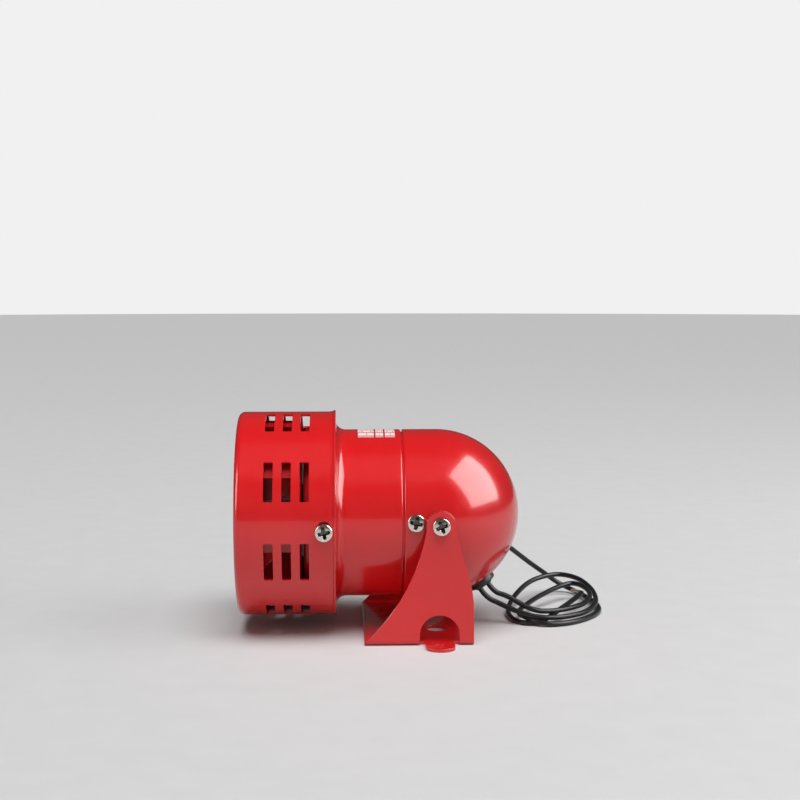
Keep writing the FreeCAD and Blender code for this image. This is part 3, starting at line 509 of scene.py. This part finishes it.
def drumSheet():
    # one group's share of the skin, flat grid wrapped on the section, with rounded slots left open
    section, angles = drumSection(), drumAngles()
    half, width = drum["slotArc"] / 2, drum["slotWidth"] / 2
    rows = len(section)
    points = []
    for a in angles:
        t = math.radians(a)
        points += [(x, r * math.cos(t), r * math.sin(t)) for x, r in section]

    def onSheet(x, a):
        t = math.radians(a)
        points.append((x, siren["drumRadius"] * math.cos(t), siren["drumRadius"] * math.sin(t)))
        return len(points) - 1

    corner = math.degrees(drum["cornerRadius"] / siren["drumRadius"])
    faces = []
    for i in range(len(angles) - 1):
        for k in range(rows - 1):
            quad = [i * rows + k, i * rows + k + 1, (i + 1) * rows + k + 1, (i + 1) * rows + k]
            midX = (section[k][0] + section[k + 1][0]) / 2
            midA = (angles[i] + angles[i + 1]) / 2
            centre = next((x for x in drum["slotCentres"] if abs(midX - x) < width), None)
            if centre is None or abs(midA) > half or section[k][1] < siren["drumRadius"] - 0.5:
                faces.append(quad)
                continue
            nearX = width - abs(midX - centre) < drum["cornerRadius"]
            nearA = half - abs(midA) < corner
            if nearX and nearA:   # the slot's corner: keep the bit outside its rounding
                sx, sa = (1 if midX > centre else -1), (1 if midA > 0 else -1)
                tipX, tipA = centre + sx * width, sa * half
                c = drum["cornerRadius"]
                curve = [onSheet(tipX - sx * c * (1 - math.sin(t)), tipA - sa * corner * (1 - math.cos(t)))
                         for t in (math.radians(22.5), math.radians(45), math.radians(67.5))]
                outerRow = k if abs(section[k][0] - tipX) < 1e-6 else k + 1
                innerRow = k + 1 if outerRow == k else k
                outerCol = i if abs(angles[i] - tipA) < 1e-6 else i + 1
                innerCol = i + 1 if outerCol == i else i
                faces.append([outerCol * rows + outerRow, outerCol * rows + innerRow, *curve,
                              innerCol * rows + outerRow])
    return points, faces


def makeDrum():
    points, faces = drumSheet()
    obj = newObject("stator_drum_skin", meshFrom("stator_drum_skin", points, faces))
    roundTheAxis(obj, drum["groups"], drum["clock"], materials["paint"])
    cleanMesh(obj)
    wall = obj.modifiers.new("wall", "SOLIDIFY")
    wall.thickness = siren["drumWall"] * mm
    wall.offset = -1
    cut = obj.modifiers.new("screw slots", "BOOLEAN")
    cut.operation = "DIFFERENCE"
    cut.solver = "EXACT"
    cut.object = makeSlotCutters()
    bevelled(obj, drum["edgeRound"], 2, 40)
    evenNormals(obj)
    bakeModifiers(obj)
    bpy.data.objects.remove(bpy.data.objects["slot_cutters"])
    setMaterial(raiseToAxis(obj), materials["paint"])
    return finishPiece(obj, "head", "red_paint", "stator_drum")


screws = {
    "headRadius": 4.0, "headHeight": 2.3, "crossLength": 2.75, "crossWidth": 0.86, "crossDepth": 2.1,
    "drumX": -50.6, "drumClock": 182.2, "drumCount": 3, "domeX": -10.6, "domeClock": 178.8,
    "pivotSeat": 43.12, "slotReach": 4.9, "slotWidth": 5.6,
}


def makeSlotCutters():
    # an adjusting slot under each drum screw, which runs a little past the head
    half, reach = screws["slotWidth"] / 2, screws["slotReach"] - screws["slotWidth"] / 2
    outline = arc(0, reach, half, 0, 180, 12) + arc(0, 0, half, 180, 360, 12)
    low, high = siren["drumRadius"] - 3, siren["drumRadius"] + 3
    count = len(outline)
    points = [(screws["drumX"] + x, y, z) for z in (low, high) for x, y in outline]
    faces = [list(range(count))[::-1], [count + i for i in range(count)]]
    faces += [(i, (i + 1) % count, count + (i + 1) % count, count + i) for i in range(count)]
    obj = newObject("slot_cutters", meshFrom("slot_cutters", points, faces))
    return roundTheAxis(obj, screws["drumCount"], screws["drumClock"] - 90, materials["paint"])


def screwHeight(x, y):
    # height of the head's top above its seat, with a cross recess pressed in
    r = math.hypot(x, y) / screws["headRadius"]
    crown = screws["headHeight"] * (1 - 0.22 * r * r) if r < 0.86 else 0
    if r >= 0.86:
        edge = (r - 0.86) / 0.14
        top = screws["headHeight"] * (1 - 0.22 * 0.86 ** 2)
        crown = top - (top - 0.55) * (1 - math.sqrt(max(0.0, 1 - edge * edge)))
    depth = 0.0
    for u, v in ((x, y), (y, x)):
        along = max(0.0, 1 - (abs(u) / screws["crossLength"]) ** 3)
        wall = (screws["crossWidth"] * (0.75 + 0.25 * along) - abs(v)) / 0.16
        depth = max(depth, min(1.0, max(0.0, wall)) * along)
    star = max(0.0, 1 - math.hypot(x, y) / 1.35)
    return crown - screws["crossDepth"] * max(depth, min(1.0, star * 1.6))


def screwMesh(name, seat, x, twist, shank=2.0, shankLength=2.6):
    # one pan-head screw that points outwards along +Z, its seat at the given radius
    rings = [0.0] + [0.16 * k for k in range(1, 16)] + [2.6, 2.9, 3.2, 3.42, 3.55, 3.68, 3.8, 3.88, 3.94, 4.0]
    around = 88
    points, faces = [(x, 0, seat + screwHeight(0, 0))], []
    for r in rings[1:]:
        for i in range(around):
            a = 2 * math.pi * i / around
            u, v = r * math.cos(a), r * math.sin(a)
            height = screwHeight(u, v)
            c, s = math.cos(math.radians(twist)), math.sin(math.radians(twist))
            points.append((x + u * c - v * s, u * s + v * c, seat + height))
    faces += [(0, 1 + i, 1 + (i + 1) % around) for i in range(around)]
    last = len(rings) - 2
    for k in range(last):
        a0, b0 = 1 + k * around, 1 + (k + 1) * around
        faces += [(a0 + i, b0 + i, b0 + (i + 1) % around, a0 + (i + 1) % around)
                  for i in range(around)]
    rows = [(screws["headRadius"], 0.0), (shank, 0.0), (shank, -shankLength)]
    previous = 1 + last * around
    for r, z in rows:
        start = len(points)
        turns = [2 * math.pi * i / around for i in range(around)]
        points += [(x + r * math.cos(a), r * math.sin(a), seat + z) for a in turns]
        faces += [(previous + i, start + i, start + (i + 1) % around, previous + (i + 1) % around)
                  for i in range(around)]
        previous = start
    faces.append([previous + i for i in range(around)][::-1])
    obj = cleanMesh(newObject(name, meshFrom(name, points, faces)))
    sharpByAngle(obj.data, 40)
    markRecessShade(obj.data, seat, x)
    return obj


def markRecessShade(mesh, seat, x):
    # point attribute that marks the cross recess, where a dark tone is painted into the plating as shade
    rim = screws["headHeight"] * 0.78
    depths = []
    for vertex in mesh.vertices:
        place = vertex.co / mm
        r = math.hypot(place.x - x, place.y)
        depth = seat + rim - place.z
        inside = r < screws["crossLength"] + 0.2 and place.z > seat
        depths.append(min(1.0, max(0.0, depth / 0.5)) if inside else 0.0)
    mesh.attributes.new("recess", "FLOAT", "POINT").data.foreach_set("value", depths)


def makeScrews():
    seat = siren["drumRadius"]
    obj = screwMesh("drum_screw_heads", seat, screws["drumX"], 12)
    roundTheAxis(obj, screws["drumCount"], screws["drumClock"] - 90, materials["nickel"])
    finishPiece(raiseToAxis(obj), "head", "nickel_plate", "drum_screws")
    obj = screwMesh("dome_screw_heads", siren["shellRadius"], screws["domeX"], 78)
    roundTheAxis(obj, 2, screws["domeClock"] - 90, materials["nickel"])
    finishPiece(raiseToAxis(obj), "head", "nickel_plate", "dome_screws")
    obj = screwMesh("pivot_screw_heads", screws["pivotSeat"], 0, 20, 2.5, 8.0)
    roundTheAxis(obj, 2, -90, materials["nickel"])
    finishPiece(raiseToAxis(obj), "head", "nickel_plate", "pivot_screws")


shells = {
    "flangeRadius": 46.6, "flangeFillet": 4.4, "seamEdge": 0.8, "spigotRadius": 36.6, "spigotRearX": -5.0,
}
plate = {
    "radius": 44.8, "dishRadius": 38.9, "sheet": 1.2, "frontX": -59.6, "lipFrontX": -55.0, "bend": 1.6,
    "bossRadius": 10.2, "midRadius": 24.0,
}


def makeHousing():
    r, t, f = siren["shellRadius"], siren["shellWall"], shells["flangeFillet"]
    face = siren["flangeFrontX"]
    back = face + t
    edge = siren["seamX"] - siren["seamGap"] / 2
    e, neck = shells["seamEdge"], shells["spigotRadius"]
    rim = shells["flangeRadius"]
    profile = [(face, rim - 0.2), (face + 0.2, rim), (back - 0.2, rim), (back, rim - 0.2)]
    profile += arc(back + f, r + f, f, 180, 270, 12)
    profile += [(-38.0, r), (-30.0, r), (-22.0, r)]
    profile += arc(edge - e, r - e, e, 90, 0, 6)
    profile += [(edge, neck), (shells["spigotRearX"], neck), (shells["spigotRearX"], neck - t),
                (edge - 3 * t, neck - t), (edge - 5 * t, r - t), (-30.0, r - t)]
    profile += arc(back + f, r + f, f + t, 270, 180, 8)
    obj = turnedMesh("motor_housing_shell", profile, 192)
    setMaterial(raiseToAxis(obj), materials["paint"])
    return finishPiece(obj, "head", "red_paint", "motor_housing")


def makeDome():
    r, t, e = siren["shellRadius"], siren["shellWall"], shells["seamEdge"]
    front = siren["seamX"] + siren["seamGap"] / 2
    profile = arc(front + e, r - e, e, 180, 90, 6) + [(-10.0, r), (-5.0, r)]
    profile += arc(0, 0, r, 90, 0.4, 44)
    profile += [(r, 0.0), (r - t, 0.0)]
    profile += arc(0, 0, r - t, 0.8, 90, 30) + [(front, r - t)]
    obj = turnedMesh("rear_dome_shell", profile, 192)
    setMaterial(raiseToAxis(obj), materials["paint"])
    return finishPiece(obj, "head", "red_paint", "rear_dome")


def makePlate():
    # dished plate inside the drum that carries the motor
    r, d, t = plate["radius"], plate["dishRadius"], plate["sheet"]
    web, front, bend = siren["flangeFrontX"], plate["frontX"], plate["bend"]
    lip, boss = plate["lipFrontX"], plate["bossRadius"]
    profile = [(lip, r)] + arc(web - bend, r - bend, bend, 90, 0, 5)
    profile += [(web, d - t), (front + t, d - t), (front + t, boss), (front, boss)]
    profile += [(front, plate["midRadius"])]
    profile += arc(front + bend, d - bend, bend, 180, 90, 6)
    profile += [(web - t, d), (web - t, r - t), (lip, r - t)]
    obj = turnedMesh("motor_mounting_dish", profile, 160)
    setMaterial(raiseToAxis(obj), materials["rotorPaint"])
    return finishPiece(obj, "head", "red_paint", "motor_mounting_plate")


rotor = {
    "radius": 41.9, "wall": 1.0, "frontX": -82.0, "rearX": -60.4, "ringRadius": 34.0, "boreRadius": 10.0,
    "windowFrontX": -79.0, "windowRearX": -62.6, "windowArc": 22.0, "clock": 15.5,
    "vaneInner": 17.0, "vaneSlope": 18.0, "vanes": 8, "bend": 1.5, "rimBend": 0.8, "edgeRound": 0.12,
    "vaneSheet": 1.0, "vaneInset": 0.6, "vaneFoot": 1.5, "vaneEdge": 0.25,
}


def makeRotor():
    # one eighth of the pressed cup, with its window and vane, repeated round the axis
    r, rear, front = rotor["radius"], rotor["rearX"], rotor["frontX"]
    bend, rimBend = rotor["bend"], rotor["rimBend"]
    section = [(rear, rotor["boreRadius"]), (rear, 17.0), (rear, 25.0), (rear, 33.0)]
    section += arc(rear - bend, r - bend, bend, 0, 90, 5)
    section += [(rotor["windowRearX"], r), (-70.0, r), (rotor["windowFrontX"], r)]
    section += arc(front + rimBend, r - rimBend, rimBend, 90, 180, 4) + [(front, rotor["ringRadius"])]
    window = rotor["windowArc"]
    angles = [window * k / 6 for k in range(7)] + [window + (45 - window) * (k + 1) / 6 for k in range(6)]
    rows = len(section)
    points, faces = [], []
    for a in angles:
        t = math.radians(a)
        points += [(x, q * math.cos(t), q * math.sin(t)) for x, q in section]
    for i in range(len(angles) - 1):
        for k in range(rows - 1):
            midX = (section[k][0] + section[k + 1][0]) / 2
            onSide = min(section[k][1], section[k + 1][1]) > r - 0.1
            inWindow = i < 6 and rotor["windowFrontX"] < midX < rotor["windowRearX"]
            if not (onSide and inWindow):
                faces.append((i * rows + k, i * rows + k + 1, (i + 1) * rows + k + 1, (i + 1) * rows + k))
    obj = newObject("rotor_wheel", meshFrom("rotor_wheel", points, faces))
    roundTheAxis(obj, rotor["vanes"], rotor["clock"], materials["rotorPaint"])
    cleanMesh(obj)
    wall = obj.modifiers.new("wall", "SOLIDIFY")
    wall.thickness = rotor["wall"] * mm
    wall.offset = -1
    bevelled(obj, rotor["edgeRound"], 1, 40)
    evenNormals(obj)
    bakeModifiers(obj)
    setMaterial(raiseToAxis(obj), materials["rotorPaint"])
    finishPiece(obj, "rotor", "red_paint_rotor", "rotor")
    makeVanes()


def makeVanes():
    # sloping blades pressed inwards from the windows
    inset, inner = rotor["vaneInset"], rotor["vaneInner"]
    root, rear, tip = rotor["radius"] - inset, rotor["rearX"] - inset, rotor["frontX"] + inset
    outline = [(rear, inner), (rear, root), (tip, root), (tip, root - rotor["vaneFoot"]),
               (rotor["frontX"] + rotor["vaneSlope"], inner)]
    points = [(x, y, z) for y in (-rotor["vaneSheet"], 0.0) for x, z in outline]
    count = len(outline)
    faces = [list(range(count)), [count + i for i in range(count)][::-1]]
    faces += [(i, count + i, count + (i + 1) % count, (i + 1) % count) for i in range(count)]
    obj = newObject("rotor_vanes", meshFrom("rotor_vanes", points, faces))
    cleanMesh(obj)
    bevelled(obj, rotor["vaneEdge"], 2, 30)
    roundTheAxis(obj, rotor["vanes"], rotor["clock"] + rotor["windowArc"] - 90, materials["rotorPaint"])
    sharpByAngle(obj.data, 30)
    raiseToAxis(obj)
    finishPiece(obj, "rotor", "red_paint_rotor")


bracket = {"edgeRound": 0.22, "bendShade": 40}


def makeBracket():
    # the CAD sheet with its doubles merged, flat faces joined, and its cut edges softened
    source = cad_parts["mounting_bracket"]
    obj = newObject("mounting_bracket_sheet", source.data.copy())
    bm = bmesh.new()
    bm.from_mesh(obj.data)
    bmesh.ops.remove_doubles(bm, verts=bm.verts, dist=0.000005)
    bmesh.ops.dissolve_limit(bm, angle_limit=math.radians(0.4), verts=bm.verts, edges=bm.edges)
    bmesh.ops.recalc_face_normals(bm, faces=bm.faces)
    bm.to_mesh(obj.data)
    bm.free()
    bevelled(obj, bracket["edgeRound"], 3, bracket["bendShade"])
    evenNormals(obj)
    bakeModifiers(obj)
    setMaterial(obj, materials["paint"])
    return finishPiece(obj, "bracket", "red_paint_bracket", "mounting_bracket")


spacer = {
    "foot": 37.2, "top": 41.38, "bore": 2.6, "radius": 6.5, "footEdge": (0.4, 0.2), "topEdge": (0.48, 0.4),
}


def makeSpacers():
    # bush between the dome and each arm
    foot, top, bore, r = spacer["foot"], spacer["top"], spacer["bore"], spacer["radius"]
    (footLong, footDeep), (topLong, topDeep) = spacer["footEdge"], spacer["topEdge"]
    profile = [(foot, bore), (foot, r - footDeep), (foot + footLong, r), (top - topLong, r),
               (top, r - topDeep), (top, bore)]
    obj = turnedMesh("pivot_spacer_bushes", profile, 72)
    obj.data.transform(Matrix.Rotation(math.radians(90), 4, "Y"))   # from +X to -Z
    roundTheAxis(obj, 2, 90, materials["spacer"])
    raiseToAxis(obj)
    return finishPiece(obj, "head", "spacer_nylon", "pivot_spacers")


grommet = {"flangeRadius": 6.7, "flangeHeight": 2.0, "noseHeight": 1.0, "noseTop": 4.1, "noseFoot": 4.6,
           "leadSpacing": 4.4, "collarRadius": 0.55}


def grommetTurn():
    # from a shape along +X at the pivot to the grommet's direction, below the rear horizontal
    return (Matrix.Translation((0, 0, siren["axisHeight"] * mm))
            @ Matrix.Rotation(math.radians(siren["grommetAngle"]), 4, "Y"))


def makeGrommet():
    r = siren["shellRadius"]
    top = r + grommet["flangeHeight"]
    rim = grommet["flangeRadius"]
    nose = top + grommet["noseHeight"]
    profile = [(r - 0.4, 0.0), (r - 0.8, 5.0), (r - 0.7, rim - 0.1), (r - 0.3, rim)]
    profile += arc(top - 0.8, rim - 0.8, 0.8, 90, 0, 6)
    profile += [(top, 5.2)] + arc(top + 0.5, grommet["noseFoot"] + 0.5, 0.5, 270, 225, 3)
    profile += arc(nose - 0.5, grommet["noseTop"] - 0.5, 0.5, 90, 0, 5) + [(nose, 2.0), (nose, 0.0)]
    obj = turnedMesh("cable_grommet_body", profile, 96, closed=False)
    collars = []
    for side in (-1, 1):
        ring = [(nose + math.cos(t) * grommet["collarRadius"] * 0.8,
                 1.45 + math.sin(t) * grommet["collarRadius"]) for t in
                [2 * math.pi * k / 12 for k in range(12)]]
        collar = turnedMesh("collar", ring, 32)
        collar.data.transform(Matrix.Translation((0, 0, side * grommet["leadSpacing"] / 2 * mm)))
        collars.append(collar)
    bm = bmesh.new()
    for part in [obj] + collars:
        bm.from_mesh(part.data)
    bm.to_mesh(obj.data)
    bm.free()
    for collar in collars:
        bpy.data.objects.remove(collar)
    obj.data.transform(grommetTurn())
    sharpByAngle(obj.data, 40)
    setMaterial(obj, materials["rubber"])
    return finishPiece(obj, "head", "black_rubber", "cable_grommet")


leads = {
    "diameter": 2.4, "tipDiameter": 1.5, "tipLength": 7.0, "stub": 5.5, "sides": 18,
    "pointsPerSpan": 3, "tipBend": 3.2,
}
leadARoute = [(29.6, -1.2, 9.3), (36.2, -4.2, 6.6), (43.0, -6.6, 4.6)]
leadBRoute = [(32.8, -0.8, 13.0), (39.4, -3.0, 9.2), (46.2, -5.4, 6.4)]
leadBTail = [(75.5, 52.0, 2.4), (75.0, 60.0, 1.6), (71.6, 66.6, 2.2), (65.4, 68.6, 5.2),
             (58.4, 63.6, 11.0), (48.0, 52.4, 19.4), (31.6, 31.6, 34.4)]
# places that each lead passes as it lies in its loose turns
leadATurns = [(50.1, -7.2, 3.8), (59.1, -4.4, 3.6), (70.0, 5.0, 3.6), (77.5, 20.0, 4.4), (79.5, 36.9, 6.0),
              (77.4, 49.9, 8.0), (73.0, 57.4, 9.6), (65.3, 60.7, 10.5), (55.9, 55.8, 10.0),
              (47.9, 47.4, 8.4), (40.5, 34.1, 5.2), (35.8, 18.1, 3.0), (35.4, 4.9, 1.5), (40.0, -5.5, 1.2),
              (49.1, -5.6, 2.2), (58.0, 4.1, 5.0), (66.2, 19.3, 5.9), (70.4, 27.7, 6.4), (73.0, 33.8, 6.6)]
leadBTurns = [(54.0, -3.1, 6.0), (62.1, 2.5, 5.9), (70.9, 13.0, 6.0), (76.0, 26.9, 6.7), (76.0, 40.2, 7.6),
              (71.4, 50.3, 8.0), (63.3, 45.5, 7.2), (53.0, 33.0, 5.6), (44.2, 18.8, 4.2), (39.2, 5.9, 3.5),
              (41.7, -3.8, 3.3), (50.0, -9.7, 1.6), (62.0, -5.9, 1.3), (73.0, 6.0, 1.3), (79.5, 20.9, 1.3),
              (79.9, 36.1, 1.4)]
leadATipDirection = (-0.85, 0.5, 0.12)


def grommetExit(side):
    # where a lead leaves the grommet; side 1 is the lower lead A and -1 the upper lead B
    angle = math.radians(siren["grommetAngle"])
    reach = siren["shellRadius"] + grommet["flangeHeight"] + grommet["noseHeight"]
    out = Vector((math.cos(angle), 0, -math.sin(angle)))
    across = Vector((-math.sin(angle), 0, -math.cos(angle)))
    middle = Vector((0, 0, siren["axisHeight"]))
    return middle + out * reach + across * (side * grommet["leadSpacing"] / 2), out


def coilPoints(places):
    # control points of the loose turns, by a loop that rounds off between the places
    keys = [Vector(p) for p in places]
    points = []
    for i in range(len(keys) - 1):
        p0, p1, p2, p3 = keys[max(i - 1, 0)], keys[i], keys[i + 1], keys[min(i + 2, len(keys) - 1)]
        for k in range(leads["pointsPerSpan"]):
            t = k / leads["pointsPerSpan"]
            p = (p1 * 2 + (p2 - p0) * t + (p0 * 2 - p1 * 5 + p2 * 4 - p3) * t ** 2
                 + (p1 * 3 - p0 - p2 * 3 + p3) * t ** 3) * 0.5
            points.append(tuple(p))
    return points + [tuple(keys[-1])]


def smoothLine(points, perSpan=10):
    # the NURBS line through the route, as points in metres
    data = bpy.data.curves.new("route", "CURVE")
    data.dimensions = "3D"
    data.resolution_u = perSpan
    spline = data.splines.new("NURBS")
    spline.points.add(len(points) - 1)
    for target, p in zip(spline.points, points):
        target.co = (*(Vector(p) * mm), 1)
    spline.order_u = 3
    spline.use_endpoint_u = True
    obj = newObject("route", data)
    bpy.context.view_layer.update()
    graph = bpy.context.evaluated_depsgraph_get()
    mesh = bpy.data.meshes.new_from_object(obj.evaluated_get(graph), depsgraph=graph)
    line = [v.co.copy() for v in mesh.vertices]
    bpy.data.objects.remove(obj)
    return line


def tubeAlong(name, line, radius, material, sides=18, taper=0.0):
    # round tube on a line in metres, with closed ends and a map along it
    bm = bmesh.new()
    rings = []
    tangent = (line[1] - line[0]).normalized()
    side = tangent.orthogonal().normalized()
    uvLayer = bm.loops.layers.uv.new("along")
    lengths = [0.0]
    for a, b in zip(line, line[1:]):
        lengths.append(lengths[-1] + (b - a).length)
    for i, p in enumerate(line):
        before, after = line[max(i - 1, 0)], line[min(i + 1, len(line) - 1)]
        tangent = (after - before).normalized()
        side = (side - tangent * side.dot(tangent)).normalized()
        up = tangent.cross(side)
        r = radius * (1 - taper * (i == len(line) - 1))
        rings.append([bm.verts.new(p + (side * math.cos(t) + up * math.sin(t)) * r)
                      for t in [2 * math.pi * k / sides for k in range(sides)]])
    for i in range(len(rings) - 1):
        for k in range(sides):
            n = (k + 1) % sides
            face = bm.faces.new((rings[i][k], rings[i][n], rings[i + 1][n], rings[i + 1][k]))
            across = (k / sides, (k + 1) / sides)
            for loop, uv in zip(face.loops, ((across[0], lengths[i]), (across[1], lengths[i]),
                                             (across[1], lengths[i + 1]), (across[0], lengths[i + 1]))):
                loop[uvLayer].uv = (uv[0], uv[1] / (math.pi * 2 * radius))
    for ring, flip in ((rings[0], True), (rings[-1], False)):
        cap = bm.verts.new(sum((v.co for v in ring), Vector()) / sides)
        for k in range(sides):
            pair = (ring[k], ring[(k + 1) % sides])
            bm.faces.new((cap, *(pair[::-1] if flip else pair)))
    mesh = bpy.data.meshes.new(name)
    bm.to_mesh(mesh)
    bm.free()
    obj = newObject(name, mesh)
    sharpByAngle(mesh, 50)
    return setMaterial(obj, material)


def makeTip(name, line, body, node, bend=None):
    # stripped strands that carry on from the lead's last stretch
    along = (line[-1] - line[-2]).normalized()
    length = leads["tipLength"] * mm
    steps = 16
    path = [line[-1] - along * 0.3 * mm]
    for k in range(steps):
        if bend:
            turned = min(1.0, (k + 1) * length / steps / (leads["tipBend"] * mm))
            heading = along.lerp(Vector(bend).normalized(), turned).normalized()
        else:
            heading = along
        path.append(path[-1] + heading * (length / steps))
    obj = tubeAlong(name, path, leads["tipDiameter"] / 2 * mm, materials["strands"], 16, 0.25)
    return finishPiece(obj, body, "tinned_copper", node)


def makeLead(name, side, route, places, tail, nodes, tipNode, bend=None):
    exitPoint, out = grommetExit(side)
    points = [tuple(exitPoint), tuple(exitPoint + out * leads["stub"])] + route
    points += coilPoints(places) + tail
    line = smoothLine(points)
    radius = leads["diameter"] / 2 * mm
    obj = tubeAlong(name, line, radius, materials["lead"], leads["sides"])
    tip = makeTip(name + "_tip", line, "bracket", tipNode, bend)
    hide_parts(*nodes)
    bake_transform(obj)
    return obj


def makeLeads():
    makeLead("lead_a_sheath", 1, leadARoute, leadATurns, [], ["lead_a"], "lead_a_tip",
             leadATipDirection)
    makeLead("lead_b_sheath", -1, leadBRoute, leadBTurns, leadBTail,
             ["lead_b", "lead_coil", "lead_b_tail"], "lead_b_tip")


label = {"frontX": -35.6, "widths": (7.2, 3.5, 4.5), "gap": 0.7, "from": 66.0, "to": 110.0, "thick": 0.15}


def makeLabel():
    bm = bmesh.new()
    uvLayer = bm.loops.layers.uv.new("along")
    x = label["frontX"]
    low = (siren["shellRadius"] + 0.02) * mm
    for width in label["widths"]:
        steps = 24
        rows = []
        for i in range(steps + 1):
            a = math.radians(label["from"] + (label["to"] - label["from"]) * i / steps)
            rows.append([(x + u * width, a) for u in (0.0, 1.0)])
        high = low + label["thick"] * mm
        grid = [[[bm.verts.new((px * mm, r * math.cos(a), r * math.sin(a))) for px, a in row]
                 for row in rows] for r in (low, high)]
        for i in range(steps):
            for level, order in ((0, 1), (1, -1)):
                quad = [grid[level][i][0], grid[level][i][1], grid[level][i + 1][1], grid[level][i + 1][0]]
                face = bm.faces.new(quad[::order])
                uvs = [(0, i / steps), (1, i / steps), (1, (i + 1) / steps), (0, (i + 1) / steps)]
                for loop, uv in zip(face.loops, uvs[::order]):
                    loop[uvLayer].uv = uv
            for c in (0, 1):
                bm.faces.new((grid[0][i][c], grid[0][i + 1][c], grid[1][i + 1][c], grid[1][i][c]))
        for i in (0, steps):
            bm.faces.new((grid[0][i][0], grid[0][i][1], grid[1][i][1], grid[1][i][0]))
        x += width + label["gap"]
    bmesh.ops.recalc_face_normals(bm, faces=bm.faces)
    mesh = bpy.data.meshes.new("rating_label_print")
    bm.to_mesh(mesh)
    bm.free()
    obj = newObject("rating_label_print", mesh)
    sharpByAngle(mesh, 40)
    setMaterial(raiseToAxis(obj), materials["label"])
    return finishPiece(obj, "head", "label_print", "rating_label")


keptFinishes = {
    "zinc": ("rotor_washer", "rotor_nut", "hub_rivets", "mount_screws", "through_bolts",
             "dome_screw_nuts", "pivot_nuts"),
    "steel": ("motor_shaft", "rotor_hub"),
    "castMetal": ("front_end_bell", "rear_end_bell"),
    "bronze": ("front_bush", "rear_bush"),
    "laminations": ("field_stack", "armature_core"),
    "windings": ("field_coils", "armature_windings"),
    "copper": ("commutator",),
    "carbon": ("carbon_brushes",),
    "brass": ("brush_holders",),
    "spring": ("brush_springs",),
    "moulding": ("terminal_block", "suppression_capacitor"),
    "rubber": ("inner_leads",),
}


def finishKeptNodes():
    for finish, names in keptFinishes.items():
        for name in names:
            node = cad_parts[name]
            for slotItem in node.material_slots:
                slotItem.material = materials[finish]
            if not node.material_slots:
                node.data.materials.append(materials[finish])


studio = {
    "floorColour": (0.60, 0.60, 0.605), "floorRoughness": 0.75, "floorSize": 6.0,
    "sunStrength": 3.1, "sunTilt": 20.0, "sunSoftness": 45.0,
    "skyLight": 0.06, "skySeen": 0.88,
}


def makeStage():
    # pale floor: a wide disc that the siren stands on
    size, around = studio["floorSize"] * 1000, 64
    turns = [2 * math.pi * i / around for i in range(around)]
    points = [(0, 0, 0)] + [(size * math.cos(a), size * math.sin(a), 0) for a in turns]
    faces = [(0, 1 + i, 1 + (i + 1) % around) for i in range(around)]
    obj = newObject("studio_floor", meshFrom("studio_floor", points, faces))
    material, nodes, links, shader, coords = startMaterial("pale floor")
    mottle = addNoise(nodes, links, coords, 60.0, 6.0)
    colour = studio["floorColour"]
    links.new(addMix(nodes, links, addRange(nodes, links, mottle, 0, 1), colour,
                     tuple(c * 0.97 for c in colour)), shader.inputs["Base Color"])
    shader.inputs["Roughness"].default_value = studio["floorRoughness"]
    setMaterial(obj, material)


def softbox(name, place, aim, width, height, power, glossy=True, diffuse=True):
    data = bpy.data.lights.new(name, "AREA")
    data.shape = "RECTANGLE"
    data.size, data.size_y = width, height
    data.energy = power
    obj = bpy.data.objects.new(name, data)
    scene.collection.objects.link(obj)
    obj.location = place
    obj.rotation_euler = (Vector(aim) - Vector(place)).to_track_quat("-Z", "Y").to_euler()
    obj.visible_glossy = glossy
    obj.visible_diffuse = diffuse
    return obj


def makeLights():
    centre = (0.0, 0.0, 0.05)
    softbox("right softbox", (0.60, -0.20, 0.54), centre, 0.80, 0.80, 14.0, diffuse=False)
    softbox("right fill", (1.2, -0.40, 1.0), centre, 1.2, 1.2, 6.0, glossy=False)
    softbox("left softbox", (-0.85, -0.35, 0.42), centre, 0.30, 0.60, 4.0, diffuse=False)
    softbox("front fill", (-0.5, -2.4, 0.9), centre, 2.0, 1.2, 5.0, glossy=False)
    data = bpy.data.lights.new("overhead", "SUN")
    data.energy = studio["sunStrength"]
    data.angle = math.radians(studio["sunSoftness"])
    sun = bpy.data.objects.new("overhead", data)
    scene.collection.objects.link(sun)
    sun.rotation_euler = (math.radians(studio["sunTilt"]), 0, 0)
    sun.visible_glossy = False
    world = bpy.data.worlds.new("studio air")
    scene.world = world
    world.use_nodes = True
    nodes, links = world.node_tree.nodes, world.node_tree.links
    background = nodes["Background"]
    background.inputs["Color"].default_value = (1, 1, 1, 1)
    path = nodes.new("ShaderNodeLightPath")
    strength = nodes.new("ShaderNodeMapRange")
    strength.inputs["To Min"].default_value = studio["skyLight"]
    strength.inputs["To Max"].default_value = studio["skySeen"]
    links.new(path.outputs["Is Camera Ray"], strength.inputs["Value"])
    links.new(strength.outputs["Result"], background.inputs["Strength"])


makeCamera()
makeLeads()
print("camera and leads made")
makeDrum()
makeHousing()
makeDome()
makePlate()
print("shells made")
makeRotor()
print("rotor made")
makeScrews()
makeSpacers()
makeBracket()
makeGrommet()
makeLabel()
print("bracket, screws, grommet and label made")
finishKeptNodes()
makeStage()
makeLights()
print("studio made")
